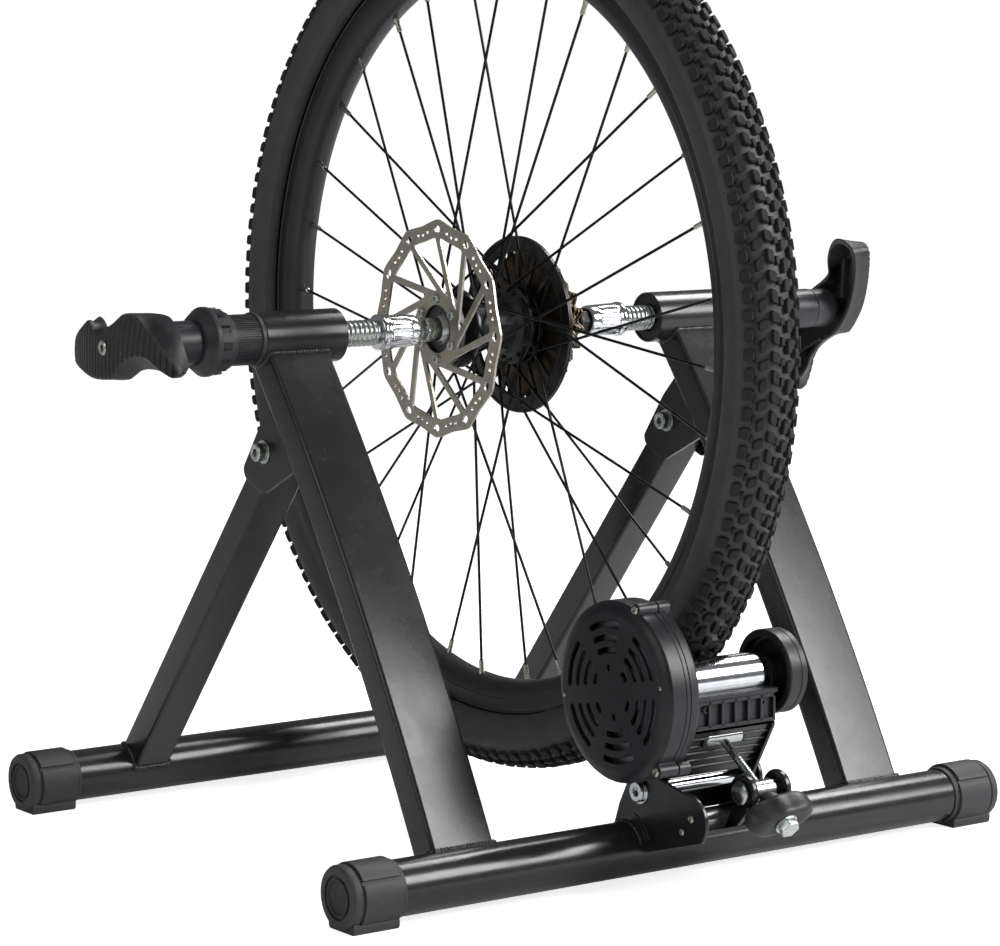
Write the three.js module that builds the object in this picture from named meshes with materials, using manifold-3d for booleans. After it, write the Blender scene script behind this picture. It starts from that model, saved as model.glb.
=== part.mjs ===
// Rear bicycle wheel held in a folding magnetic turbo trainer.
// Millimetres. X runs across to the right, Y forward along the bicycle, Z up from the floor.
// Drawn about the point on the floor below the axle, then stood with the middle of its box on the origin.

import * as THREE from 'three';
import { mergeVertices } from 'three/addons/utils/BufferGeometryUtils.js';
import Module from 'manifold-3d';

const wasm = await Module();
wasm.setup();

// Values shared by the whole part
const gap = 0.3; // between two pieces that touch or run on each other
const overrun = 4; // how far a cutting tool runs past what it cuts
const fine = 24; // sides of a large round
const medium = 20;
const sprocketSides = 16; // sides of a hand-sized round
const coarse = 12; // sides of a small round
const hexSides = 6;
const turn = 2 * Math.PI;

// Driving dimensions of the stand
const base = { radius: 19, wall: 2, halfLength: 280, capWall: 2.5, floorGap: 1.5 };
base.height = base.radius + base.capWall + base.floorGap;
const rearLeg = { width: 50, thick: 25, wall: 2, apart: 181, bow: 10, steps: 12,
  footForward: 9, footRise: 8, headForward: 6 };
const frontLeg = { width: 30, thick: 25, wall: 2, head: 14, headSteps: 6 };
const pivot = { below: 80, radius: 4, head: 6.5, headHigh: 8, socket: 3, socketDeep: 5, nut: 7, nutHigh: 7,
  shankBeyond: 1 };
const bracket = { clear: 1.5, sheet: 3.5, peak: 45, tail: 8, shoulder: 5, shoulderUp: 19, nose: 30,
  noseDown: 15.5, tip: 26.5, tipDown: 21, heel: 3, heelDown: 31 };
bracket.halfWidth = frontLeg.width / 2 + bracket.clear + bracket.sheet;

// Driving dimensions of the axle clamps, measured outward from the middle plane
const clampTube = { inward: 40, outward: 27, radius: 19, wall: 2, bushLong: 12 };
clampTube.inner = rearLeg.apart - clampTube.inward;
clampTube.outer = rearLeg.apart + clampTube.outward;
const screw = { crest: 1, root: 8.6, pitch: 4, nose: 5, short: 30 };
screw.radius = screw.root + screw.crest;
const sleeve = { radius: 15.5, inside: 6, beyond: 84, endWall: 8 };
sleeve.start = clampTube.outer + sleeve.inside;
sleeve.end = clampTube.outer + sleeve.beyond;
screw.tail = sleeve.end - screw.short;
const collar = { wall: 2.5, rimHigh: 1, rimLong: 3, long: 25, ribs: 10, rib: 1.6 };
collar.radius = sleeve.radius + collar.wall;
collar.rim = collar.radius + collar.rimHigh;
const lockRing = { wall: 9, neckWall: 4.5, neckLong: 6, long: 24, notches: 8, notch: 3, notchWide: 7 };
lockRing.radius = sleeve.radius + lockRing.wall;
lockRing.neck = sleeve.radius + lockRing.neckWall;
const knob = { halfLength: 78, halfHeight: 26, deep: 36, crown: 162, middle: 24, tip: 12, wall: 3, boss: 15,
  rib: 2.4, head: 5, headHigh: 4, socket: 2.5, shank: 3, inHead: 1, steps: 22, arcSteps: 6 };
const knobDegrees = { left: 0, right: 63, rib: 34 };
const knobRibShares = [0.45, 0.7];

// Driving dimensions of the feet
const foot = { long: 42, endWall: 4, bevel: 2, ringOuter: 15, ringInner: 12, ringDeep: 1,
  padWide: 22, padLong: 36, padTaper: 3, shimHigh: 1.2, shimWide: 30 };
foot.radius = base.radius + base.capWall;

// Driving dimensions of the wheel
const tyre = { radius: 328, tread: 4.5, depth: 42.5, halfWidth: 25, bead: 11, beadHigh: 3, beadEdge: 1,
  beadFoot: 2, beadWall: 4, blocks: 36, row: 20, shoulder: 17.5, shoulderDrop: 5.5, edge: 1, waist: 3,
  wall: 4, grooveShare: 0.36, sides: 40, rootDrop: 7, holeDrop: 10, hollowDrop: 12, floorGap: 40 };
tyre.casing = tyre.radius - tyre.tread;
const axleHeight = tyre.radius + tyre.floorGap;
const rim = { depth: 23.5, halfWidth: 12.5, halfNose: 5, seat: 3.5, well: 9, step: 1, flange: 2, wall: 4,
  nippleLong: 10, nippleRadius: 2.4, nippleRoot: 2, nippleSides: 4 };
rim.outer = tyre.radius - tyre.depth;
rim.inner = rim.outer - rim.depth;
const spoke = { count: 32, radius: 1.1, sides: 4, firstDegrees: 3.4, crossings: 3, hubRing: 25 };
const axle = { radius: 5, nutHex: 8.7, dropout: 6, nutEnd: 2 };
const hub = { flange: 29, sheet: 3.5, left: -34, right: 13, slope: 5, body: 14, neck: 17, end: 67, play: 0.6,
  boss: 27, bossLong: 5.2, cone: 10, coneRise: 1, chamfer: 1, freeBody: 17, freeShort: 5 };
hub.bore = axle.radius + hub.play;
hub.freeEnd = hub.end - hub.freeShort;
const disc = { radius: 80, dip: 3.6, lobes: 12, track: 12, thick: 2, inner: 17.5, ring: 28, arm: 4, bite: 1,
  holeIn: 7.5, hole: 2.6, bolts: 6, boltRing: 22, boltHead: 4, boltHigh: 2, steps: 48 };
const discDegrees = { first: 0.8, rootLean: 9 };
const guard = { radius: 65.5, play: 0.4, sheet: 1.5, rim: 8, rimHigh: 4, beyond: 4 };
guard.inner = hub.freeBody + guard.play;
guard.place = hub.right + hub.sheet + guard.beyond;
const cassette = { teeth: [28, 24, 21, 18, 16, 14], pitch: 12.7, beyond: 5.5, spacing: 6, thick: 2,
  tooth: 3.5, wall: 3 };
cassette.first = guard.place + cassette.beyond;
const valve = { radius: 3, long: 22, cap: 4, capLong: 8, spokes: 7.7 };
const cup = { dropoutLeft: 6, dropoutRight: 15, long: 33, play: 0.6, wall: 1.7, taper: 1, lip: 1,
  flangeLong: 6, chamfer: 1, pocketDeep: 14, pinDeep: 11, flutes: 8, flute: 1.4 };
cup.reachLeft = hub.end + cup.dropoutLeft;
cup.reachRight = hub.end + cup.dropoutRight;
cup.pocket = axle.nutHex + cup.play;
cup.mouth = cup.pocket + cup.wall;
cup.root = cup.mouth + cup.taper;
cup.flange = cup.root + cup.lip;

// Driving dimensions of the resistance unit
const roller = { above: 119.5, behind: 38.853, radius: 15, halfLong: 31, bevel: 1 };
const tilt = { back: 16, up: 43, radius: 5, head: 8, headHigh: 4, bossRadius: 12, shankIn: 1 };
const arm = { inner: 37.3, sheet: 3, boss: 13, kneeBack: 13, kneeDown: 34, kneeStep: 2, kneeRise: 4,
  bite: 1 };
const web = { sheet: 3, low: 33, high: 7, clear: 0.73, lip: 8 };
web.back = Math.sqrt(roller.radius ** 2 - web.high ** 2) + web.clear;
const panel = { halfWide: 35, low: 30, high: 8, sheet: 2, rib: 3, ribIn: 0.5, ribWide: 2, ribs: 7, rail: 2.5,
  screwApart: 24.5, screw: 3.2, screwIn: 1, screwOut: 2, screwUp: 4 };
const casing = { radius: 61.5, coverDeep: 15, backDeep: 8, back: 64, wall: 2.5, bevel: 2, dome: 4,
  domeWide: 9, boss: 4.5, bossHigh: 1, bossUpOut: 0.5, bossDownOut: 3, bossBite: 2, neck: 18,
  screw: 2.6, screwHigh: 2 };
casing.seam = casing.back + casing.backDeep;
casing.front = casing.seam + casing.coverDeep + casing.dome;
const casingBossDegrees = { up: 111, down: -134 };
const vents = { wide: 4, band: 12, steps: 4, least: 2, ringShares: [0.75, 0.6, 0.455, 0.293] };
const ventDegrees = { lean: -10, sideEnd: 50, capHalf: 20 };
const magnets = { inner: 22, outerIn: 11.5, thick: 5, discIn: 9.5, discThick: 2, discGap: 4, bolts: 4,
  boltRing: 30, bolt: 4, boltHigh: 1.5, boltIn: 1 };
magnets.outer = casing.radius - magnets.outerIn;
magnets.disc = casing.radius - magnets.discIn;
const flywheel = { radius: 29.5, clear: 1.2, thick: 15.5, groove: 1.2, grooveWide: 1.5, recess: 7, lip: 5,
  hub: 11, hubRise: 1, bevel: 1 };
flywheel.start = arm.inner + arm.sheet + flywheel.clear;
const shaft = { radius: 5.5, endGap: 1.5, beyond: 3 };
shaft.left = -casing.front + casing.wall + shaft.endGap;
shaft.right = flywheel.start + flywheel.thick + shaft.beyond;
const crossPin = { back: 4.15, below: 6.5, radius: 5.2, halfLong: 15.6, trunnion: 3, tab: 3, tabRadius: 8 };
const saddle = { clear: 4.7, sheet: 3, dome: 21, rearBack: 86.5, rearUp: 31, lobe: 18.5, webBack: 74,
  webUp: 24, rivet: 2.4, rivetHigh: 1.5, rivetIn: 1, rivetAhead: 8, rivetStep: 12, rivetDown: 12,
  rivetRise: 9 };
saddle.inner = arm.inner + arm.sheet + saddle.clear;
const barrel = { back: 86, up: 50, radius: 7, halfLong: 9, trunnion: 4.5, head: 8, headHigh: 3.5, clip: 6.5,
  clipHigh: 2, clear: 3.4, earSheet: 4, earRadius: 12.5, earFoot: 25, earDrop: 4, trunnionIn: 1 };
barrel.ear = barrel.halfLong + barrel.clear;
const tension = { radius: 3, play: 0.5, knobStart: 14.2, knobThick: 18, lobes: 3, lobe: 8, reach: 18,
  waist: 14, hex: 7.5, hexHigh: 6, inHex: 1 };
tension.bore = tension.radius + tension.play;

// The roller runs on the tyre, and stands a set way behind the rear base tube
const rollerHeight = base.height + roller.above;
const touch = tyre.radius + roller.radius + gap;
const rollerBack = Math.sqrt(touch ** 2 - (axleHeight - rollerHeight) ** 2);
const spread = rollerBack - roller.behind;
const pivotHeight = axleHeight - pivot.below;

// Finishes
const blackPaint = [0x1d1d20, 0.35, 0.3];
const brownPaint = [0x4a4441, 0.32, 0.4];
const blackPlastic = [0x2c2c30, 0.55, 0];
const rubber = [0x2e2e31, 0.8, 0];
const treadRubber = [0x2b2725, 0.9, 0];
const blackAlloy = [0x202022, 0.4, 0.5];
const chrome = [0xd5d8dc, 0.15, 1];
const zinc = [0xb9c2c4, 0.4, 0.9];
const steel = [0x9c9891, 0.4, 0.9];
const smoke = [0x37373a, 0.3, 0];

// Turning a three.js geometry into a solid that can be cut, and back
function toSolid(geometry) {
  const bare = new THREE.BufferGeometry();
  bare.setAttribute('position', geometry.getAttribute('position').clone());
  if (geometry.index) bare.setIndex(geometry.index.clone());
  const merged = mergeVertices(bare, 1e-4);
  const points = merged.getAttribute('position');
  const corners = [];
  let volume = 0;
  const [a, b, c] = [new THREE.Vector3(), new THREE.Vector3(), new THREE.Vector3()];
  for (let i = 0; i < merged.index.count; i += 3) {
    const [p, q, r] = [0, 1, 2].map((k) => merged.index.getX(i + k));
    if (p === q || q === r || r === p) continue;
    corners.push(p, q, r);
    a.fromBufferAttribute(points, p);
    b.fromBufferAttribute(points, q);
    c.fromBufferAttribute(points, r);
    volume += a.dot(b.cross(c));
  }
  if (volume < 0) corners.reverse();
  const mesh = new wasm.Mesh({
    numProp: 3,
    vertProperties: new Float32Array(points.array),
    triVerts: new Uint32Array(corners),
  });
  mesh.merge();
  return new wasm.Manifold(mesh);
}

function toGeometry(solid) {
  const mesh = solid.getMesh();
  const geometry = new THREE.BufferGeometry();
  geometry.setAttribute('position', new THREE.BufferAttribute(new Float32Array(mesh.vertProperties), 3));
  geometry.setIndex(new THREE.BufferAttribute(new Uint32Array(mesh.triVerts), 1));
  return geometry;
}

function join(first, ...others) {
  return toGeometry(others.reduce((sum, other) => sum.add(toSolid(other)), toSolid(first)));
}

function cut(first, ...tools) {
  return toGeometry(tools.reduce((rest, tool) => rest.subtract(toSolid(tool)), toSolid(first)));
}

function common(first, second) {
  return toGeometry(toSolid(first).intersect(toSolid(second)));
}

// Basic forms along X
function rod(radius, start, end, sides = coarse) {
  const bar = new THREE.CylinderGeometry(radius, radius, end - start, sides);
  return bar.rotateZ(-Math.PI / 2).translate((start + end) / 2, 0, 0);
}

function pipe(radius, bore, start, end, sides = coarse) {
  return cut(rod(radius, start, end, sides), rod(bore, start - overrun, end + overrun, sides));
}

// A revolved form about X, from points of [place along X, radius]
function turned(profile, sides = medium) {
  const points = profile.map(([place, radius]) => new THREE.Vector2(radius, place));
  return new THREE.LatheGeometry(points, sides).rotateZ(-Math.PI / 2);
}

// An outline in Y and Z, drawn out along X
function slab(outline, start, end, steps = 6) {
  const shape = outline instanceof THREE.Shape ? outline : new THREE.Shape(outline);
  const solid = new THREE.ExtrudeGeometry(shape, { depth: end - start, bevelEnabled: false,
    curveSegments: steps });
  const across = new THREE.Matrix4().set(0, 0, 1, 0, 1, 0, 0, 0, 0, 1, 0, 0, 0, 0, 0, 1);
  return solid.applyMatrix4(across).translate(start, 0, 0);
}

function block(x, y, z, start, middle, low) {
  return new THREE.BoxGeometry(x, y, z).translate(start + x / 2, middle, low + z / 2);
}

function radians(degrees) {
  return THREE.MathUtils.degToRad(degrees);
}

function at(y, z) {
  return new THREE.Vector2(y, z);
}

function polar(radius, angle) {
  return at(radius * Math.cos(angle), radius * Math.sin(angle));
}

// Points on an arc about a centre, end points included
function arc(centre, radius, from, to, steps) {
  return Array.from({ length: steps + 1 }, (_, i) =>
    polar(radius, from + (to - from) * i / steps).add(centre));
}

// A straight bar between two points in space
function strut(from, to, radius, sides) {
  const along = to.clone().sub(from);
  const bar = new THREE.CylinderGeometry(radius, radius, along.length(), sides);
  const swing = new THREE.Quaternion().setFromUnitVectors(new THREE.Vector3(0, 1, 0), along.normalize());
  return bar.applyQuaternion(swing).translate(...from.clone().add(to).divideScalar(2));
}

function aroundX(radius, angle, place) {
  return new THREE.Vector3(place, radius * Math.cos(angle), radius * Math.sin(angle));
}

const part = new THREE.Group();

function add(name, geometry, [color, roughness, metalness], group = part) {
  const mesh = new THREE.Mesh(geometry, new THREE.MeshStandardMaterial({ color, roughness, metalness }));
  mesh.name = name;
  group.add(mesh);
  return mesh;
}

// Base tubes, straight and open at the ends, where the feet cover them
function baseTube() {
  return pipe(base.radius, base.radius - base.wall, -base.halfLength, base.halfLength, fine);
}

add('rear_base_tube', baseTube(), blackPaint).position.set(0, -spread, base.height);

// Rear legs: rectangular tube bowed gently rearward, coped at both ends to the round tubes
const legFoot = at(-spread + rearLeg.footForward, base.height);
const legHead = at(rearLeg.headForward, axleHeight);
const legChord = legHead.clone().sub(legFoot);
const legRadius = (legChord.length() ** 2 / 4 + rearLeg.bow ** 2) / (2 * rearLeg.bow);
const legForward = at(legChord.y, -legChord.x).normalize();
const legMiddle = legFoot.clone().add(legHead).divideScalar(2);
const legCentre = legMiddle.clone().addScaledVector(legForward, legRadius - rearLeg.bow);

// A point on the middle line of a rear leg
function legAt(height) {
  return at(legCentre.x - Math.sqrt(legRadius ** 2 - (height - legCentre.y) ** 2), height);
}

function legBand(forward, rearward) {
  const start = legFoot.clone().sub(legCentre).angle();
  const end = legHead.clone().sub(legCentre).angle();
  const low = start - Math.asin(rearLeg.footRise / legRadius);
  return [...arc(legCentre, legRadius + rearward, end, low, rearLeg.steps),
    ...arc(legCentre, legRadius - forward, low, end, rearLeg.steps)];
}

function rearLegTube() {
  const half = rearLeg.thick / 2;
  const across = rearLeg.width / 2;
  const shell = slab(legBand(half, half), -across, across);
  const bore = slab(legBand(half - rearLeg.wall, half - rearLeg.wall), -across + rearLeg.wall,
    across - rearLeg.wall);
  const lowTube = rod(base.radius + gap, -across - overrun, across + overrun, fine)
    .translate(0, -spread, base.height);
  const highTube = rod(clampTube.radius + gap, -across - overrun, across + overrun, fine)
    .translate(0, 0, axleHeight);
  return cut(shell, bore, lowTube, highTube);
}

// Fold brackets: pressed channels welded on the front of the rear legs
function foldBracket() {
  const half = bracket.halfWidth;
  const { shoulder, shoulderUp, nose, noseDown, tip, tipDown, heel, heelDown } = bracket;
  const outline = [legAt(pivotHeight - bracket.tail), legAt(pivotHeight + bracket.peak),
    at(shoulder, pivotHeight + shoulderUp), at(nose, pivotHeight - noseDown), at(tip, pivotHeight - tipDown),
    at(heel, pivotHeight - heelDown)];
  const whole = slab(outline, -half, half);
  const mouth = block(2 * (half - bracket.sheet), spread, pivotHeight, -half + bracket.sheet, 0,
    pivotHeight / 2);
  const face = rearLeg.thick / 2 + gap;
  const backing = slab(legBand(face + bracket.sheet, rearLeg.thick), -half - overrun, half + overrun);
  const leg = slab(legBand(face, rearLeg.thick * 2), -half - overrun, half + overrun);
  const hole = rod(pivot.radius + gap, -half - overrun, half + overrun).translate(0, 0, pivotHeight);
  return cut(cut(whole, cut(mouth, backing)), leg, hole);
}

function pivotBolt() {
  const seat = bracket.halfWidth + gap;
  const head = rod(pivot.head, -seat - pivot.headHigh, -seat, coarse);
  const body = rod(pivot.radius, -seat - overrun, seat + pivot.nutHigh + pivot.shankBeyond, coarse);
  const top = -seat - pivot.headHigh;
  const socket = rod(pivot.socket, top - overrun, top + pivot.socketDeep, hexSides);
  return cut(join(head, body), socket);
}

function pivotNut() {
  const seat = bracket.halfWidth + gap;
  return cut(rod(pivot.nut, seat, seat + pivot.nutHigh, hexSides),
    rod(pivot.radius + gap, seat - overrun, seat + pivot.nutHigh + overrun));
}

for (const [side, sign] of [['left', -1], ['right', 1]]) {
  const place = sign * rearLeg.apart;
  add(`rear_leg_${side}`, rearLegTube(), brownPaint).position.x = place;
  add(`fold_bracket_${side}`, foldBracket(), blackPaint).position.x = place;
  add(`pivot_bolt_${side}`, pivotBolt(), zinc).position.set(place, 0, pivotHeight);
  add(`pivot_nut_${side}`, pivotNut(), zinc).position.set(place, 0, pivotHeight);
}

// Front frame: two straight legs and the front base tube, swinging on the pivot bolts
const frontRise = pivotHeight - base.height;
const frontLong = Math.hypot(spread, frontRise);
const frontLean = Math.atan2(spread, frontRise);

function frontLegTube() {
  const half = frontLeg.thick / 2;
  const across = frontLeg.width / 2;
  const outline = [at(-half, -frontLong), at(half, -frontLong),
    ...arc(at(0, 0), half, 0, Math.PI, frontLeg.headSteps)];
  const inside = half - frontLeg.wall;
  const bore = slab([at(-inside, -frontLong - overrun), at(inside, -frontLong - overrun), at(inside, -half),
    at(-inside, -half)], -across + frontLeg.wall, across - frontLeg.wall);
  const tube = rod(base.radius + gap, -across - overrun, across + overrun, fine).translate(0, 0, -frontLong);
  const hole = rod(pivot.radius + gap, -across - overrun, across + overrun);
  return cut(slab(outline, -across, across), bore, tube, hole);
}

const frontFrame = new THREE.Group();
frontFrame.position.z = pivotHeight;
frontFrame.rotation.x = frontLean;
part.add(frontFrame);
for (const [side, sign] of [['left', -1], ['right', 1]]) {
  add(`front_leg_${side}`, frontLegTube(), blackPaint, frontFrame).position.x = sign * rearLeg.apart;
}
const frontTube = add('front_base_tube', baseTube(), blackPaint, frontFrame);
frontTube.position.z = -frontLong;
frontTube.rotation.x = -frontLean;

// Feet: rubber caps that turn on the tube ends, with a thick pad and a thin pad to level the stand
function footCap() {
  const open = foot.long - foot.endWall;
  const outside = turned([[0, 0], [0, foot.radius - foot.bevel], [foot.bevel, foot.radius],
    [foot.long, foot.radius], [foot.long, 0]], fine);
  const bore = rod(base.radius + gap, foot.endWall, foot.long + overrun, medium);
  const ring = pipe(foot.ringOuter, foot.ringInner, -overrun, foot.ringDeep, medium);
  const wide = foot.padWide / 2;
  const pad = slab([at(-wide - foot.padTaper, -base.height), at(wide + foot.padTaper, -base.height),
    at(wide, -foot.radius + foot.padTaper), at(-wide, -foot.radius + foot.padTaper)],
  (foot.long - foot.padLong) / 2, (foot.long + foot.padLong) / 2);
  const shim = common(rod(foot.radius + foot.shimHigh, foot.bevel, open, fine),
    block(open, foot.shimWide, foot.radius, 0, 0, base.radius / 2));
  return cut(join(outside, pad, shim), bore, ring);
}

const footPlace = base.halfLength + foot.endWall + gap;
for (const [end, place] of [['rear', -spread], ['front', spread]]) {
  for (const [side, sign] of [['left', -1], ['right', 1]]) {
    const cap = add(`foot_cap_${end}_${side}`, footCap(), rubber);
    cap.position.set(sign * footPlace, place, base.height);
    cap.rotation.z = sign < 0 ? 0 : Math.PI;
  }
}

// Axle clamps: a fixed tube on each side, with a hand screw that presses a cup onto the axle end
function clampBarrel() {
  const bush = clampTube.inner + clampTube.bushLong;
  const outside = rod(clampTube.radius, -clampTube.outer, -clampTube.inner, fine);
  const hollow = rod(clampTube.radius - clampTube.wall, -clampTube.outer - overrun, -bush, fine);
  const thread = rod(screw.radius + 2 * gap, -clampTube.outer, -clampTube.inner + overrun);
  return cut(outside, hollow, thread);
}

function ribbed(geometry, count, size, radius, start, end) {
  const grooves = Array.from({ length: count }, (_, i) =>
    block(end - start, size, size, start, 0, radius - size / 2).rotateX(turn * i / count));
  return cut(geometry, ...grooves);
}

function ribbedCollar() {
  const start = -clampTube.outer - gap - collar.long;
  const end = start + collar.long;
  const body = join(rod(collar.radius, start, end, medium),
    rod(collar.rim, end - collar.rimLong, end, medium));
  const bored = cut(body, rod(sleeve.radius + gap, start - overrun, end + overrun, medium));
  return ribbed(bored, collar.ribs, collar.rib, collar.radius, start - overrun, end - collar.rimLong);
}

function notchedRing() {
  const end = -clampTube.outer - 2 * gap - collar.long;
  const start = end - lockRing.long;
  const body = turned([[start, 0], [start, lockRing.neck], [start + lockRing.neckLong, lockRing.radius],
    [end, lockRing.radius], [end, 0]], medium);
  const notches = Array.from({ length: lockRing.notches }, (_, i) =>
    block(lockRing.long / 2 + overrun, lockRing.notchWide, lockRing.notch * 2, end - lockRing.long / 2, 0,
      lockRing.radius - lockRing.notch).rotateX(turn * i / lockRing.notches));
  return cut(body, rod(sleeve.radius + gap, start - overrun, end + overrun, medium), ...notches);
}

function spindleSleeve() {
  const wall = -sleeve.end + sleeve.endWall;
  return cut(rod(sleeve.radius, -sleeve.end, -sleeve.start, medium),
    rod(screw.root + gap, wall, -sleeve.start + overrun, medium),
    rod(knob.shank + gap, -sleeve.end - overrun, wall + overrun));
}

// The screw, with the thread that shows drawn as rings of the real pitch
function clampScrew(reach) {
  const start = -(reach + cup.long + gap);
  const turns = Math.floor((clampTube.inner + start) / screw.pitch) + 1;
  const profile = [[start + cup.pinDeep, 0], [start + cup.pinDeep, screw.nose], [start, screw.nose],
    [start, screw.root]];
  for (let i = 0; i < turns; i += 1) {
    const place = start - i * screw.pitch;
    profile.push([place - screw.pitch / 2, screw.radius], [place - screw.pitch, screw.root]);
  }
  profile.push([-screw.tail, screw.root], [-screw.tail, 0]);
  return turned(profile.reverse(), coarse);
}

function axleCup(reach) {
  const outer = -(reach + cup.long);
  const body = turned([[outer, 0], [outer, cup.flange - cup.chamfer], [outer + cup.chamfer, cup.flange],
    [outer + cup.flangeLong, cup.root], [-reach, cup.mouth], [-reach, 0]], medium);
  const pocket = rod(cup.pocket, -reach - cup.pocketDeep, -reach + overrun, medium);
  const pinHole = rod(screw.nose + gap, outer - overrun, outer + cup.pinDeep + gap);
  const fluted = ribbed(body, cup.flutes, cup.flute * 2, cup.root, outer + cup.flangeLong, -reach + overrun);
  return cut(fluted, pocket, pinHole);
}

// Wing knob: a two-winged outline, crowned across the wings and hollow at the back
const wingShares = [[0.23, 0.5], [0.45, 0.7], [0.64, 0.73], [0.85, 0.5], [1, -0.15], [0.92, -0.62],
  [0.74, -0.92], [0.51, -1.02], [0.26, -1], [0.06, -0.96]];

function knobOutline(inset) {
  const wing = wingShares.map(([y, z]) => new THREE.Vector3(y * (knob.halfLength - inset),
    z * (knob.halfHeight - inset), 0));
  const other = wing.map((p) => p.clone().negate());
  const curve = new THREE.CatmullRomCurve3([...wing.slice().reverse(), ...other.reverse()], true);
  return curve.getPoints(knob.steps).slice(0, -1).map((p) => at(p.x, p.y));
}

function bowedSlice(start, inset) {
  const reach = knob.halfLength + overrun;
  const outer = arc(at(start + knob.crown, 0), knob.crown, Math.PI + Math.asin(reach / knob.crown),
    Math.PI - Math.asin(reach / knob.crown), knob.arcSteps);
  const sag = knob.crown - Math.sqrt(knob.crown ** 2 - reach ** 2);
  const back = [at(start + sag + knob.tip + inset, reach), at(start + knob.middle + inset, 0),
    at(start + sag + knob.tip + inset, -reach)];
  const shape = new THREE.Shape([...outer, ...back]);
  const tall = 2 * knob.halfHeight + overrun;
  return new THREE.ExtrudeGeometry(shape, { depth: 2 * tall, bevelEnabled: false }).translate(0, 0, -tall);
}

function wingKnob(shift) {
  const face = -(sleeve.end + gap + knob.deep);
  const back = -(sleeve.end + gap);
  const body = common(slab(knobOutline(0), face - overrun, back), bowedSlice(face, 0));
  const boss = rod(knob.boss, face + knob.wall, back, medium);
  const hollow = common(slab(knobOutline(knob.wall), face - overrun, back + overrun),
    bowedSlice(face + knob.wall, overrun));
  const ribs = [-1, 1].flatMap((wing) => knobRibShares.map((share, i) =>
    block(knob.deep, knob.halfLength / 2, knob.rib, face, 0, -knob.rib / 2)
      .rotateX(radians(i ? knobDegrees.rib : -knobDegrees.rib))
      .translate(0, wing * knob.halfLength * share, 0)));
  const pocket = cut(hollow, boss, ...ribs);
  const hole = rod(knob.shank + gap, face - overrun, back + overrun);
  return cut(join(cut(body, pocket), boss), hole).translate(shift, 0, 0);
}

function knobScrew() {
  const face = -(sleeve.end + gap + knob.deep);
  const head = rod(knob.head, face - gap - knob.headHigh, face - gap);
  const inside = face - gap - knob.inHead;
  const shank = rod(knob.shank, inside, -sleeve.end + sleeve.endWall);
  const socket = rod(knob.socket, face - gap - knob.headHigh - overrun, inside, hexSides);
  return cut(join(head, shank), socket);
}

for (const [side, sign, reach, angle] of [['left', -1, cup.reachLeft, knobDegrees.left],
  ['right', 1, cup.reachRight, knobDegrees.right]]) {
  const clamp = new THREE.Group();
  clamp.position.z = axleHeight;
  clamp.rotation.z = sign < 0 ? 0 : Math.PI;
  part.add(clamp);
  const shift = cup.reachLeft - reach;
  add(`clamp_tube_${side}`, clampBarrel(), blackPaint, clamp);
  add(`ribbed_collar_${side}`, ribbedCollar(), blackPlastic, clamp);
  add(`lock_ring_${side}`, notchedRing(), blackPlastic, clamp);
  add(`spindle_sleeve_${side}`, spindleSleeve(), blackPlastic, clamp).position.x = shift;
  add(`clamp_screw_${side}`, clampScrew(reach), zinc, clamp);
  add(`axle_cup_${side}`, axleCup(reach), chrome, clamp);
  const wing = add(`wing_knob_${side}`, wingKnob(0), blackPlastic, clamp);
  wing.position.x = shift;
  wing.rotation.x = radians(angle);
  add(`knob_screw_${side}`, knobScrew(), zinc, clamp).position.x = shift;
}

// Wheel
const wheel = new THREE.Group();
wheel.position.z = axleHeight;
part.add(wheel);

function treadRow() {
  const radius = tyre.radius;
  const outline = [];
  const root = tyre.casing - tyre.rootDrop;
  for (let i = 0; i < tyre.blocks; i += 1) {
    const start = turn * i / tyre.blocks;
    const wide = turn / tyre.blocks * (1 - tyre.grooveShare);
    outline.push(polar(root, start), polar(radius, start), polar(radius, start + wide),
      polar(root, start + wide));
  }
  const shape = new THREE.Shape(outline);
  shape.holes.push(new THREE.Path(arc(at(0, 0), tyre.casing - tyre.holeDrop, 0, turn * (1 - 1 / tyre.sides),
    tyre.sides - 1)));
  return slab(shape, -tyre.row / 2, tyre.row / 2);
}

function tyreBody() {
  const root = rim.outer + gap;
  const wide = tyre.halfWidth;
  const foot = tyre.bead - tyre.beadFoot;
  const half = [[0, tyre.casing], [tyre.shoulder, tyre.casing - tyre.shoulderDrop],
    [wide - tyre.edge, tyre.casing - tyre.shoulderDrop * 2],
    [wide, (tyre.casing + root) / 2 + tyre.beadHigh], [wide - tyre.waist, root + tyre.beadHigh * 3],
    [tyre.bead + tyre.beadEdge, root], [foot, root]];
  const profile = [...half.map(([x, r]) => [-x, r]).reverse().slice(0, -1), ...half, [-foot, root]];
  const inside = wide - tyre.wall;
  const mouth = tyre.bead - tyre.beadWall;
  const hollow = [[-inside, (tyre.casing + root) / 2], [-tyre.shoulder, tyre.casing - tyre.hollowDrop],
    [tyre.shoulder, tyre.casing - tyre.hollowDrop], [inside, (tyre.casing + root) / 2],
    [mouth, root - overrun], [-mouth, root - overrun], [-inside, (tyre.casing + root) / 2]];
  return join(cut(turned(profile, tyre.sides), turned(hollow, tyre.sides)), treadRow());
}

add('tyre', tyreBody(), treadRubber, wheel);

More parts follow.
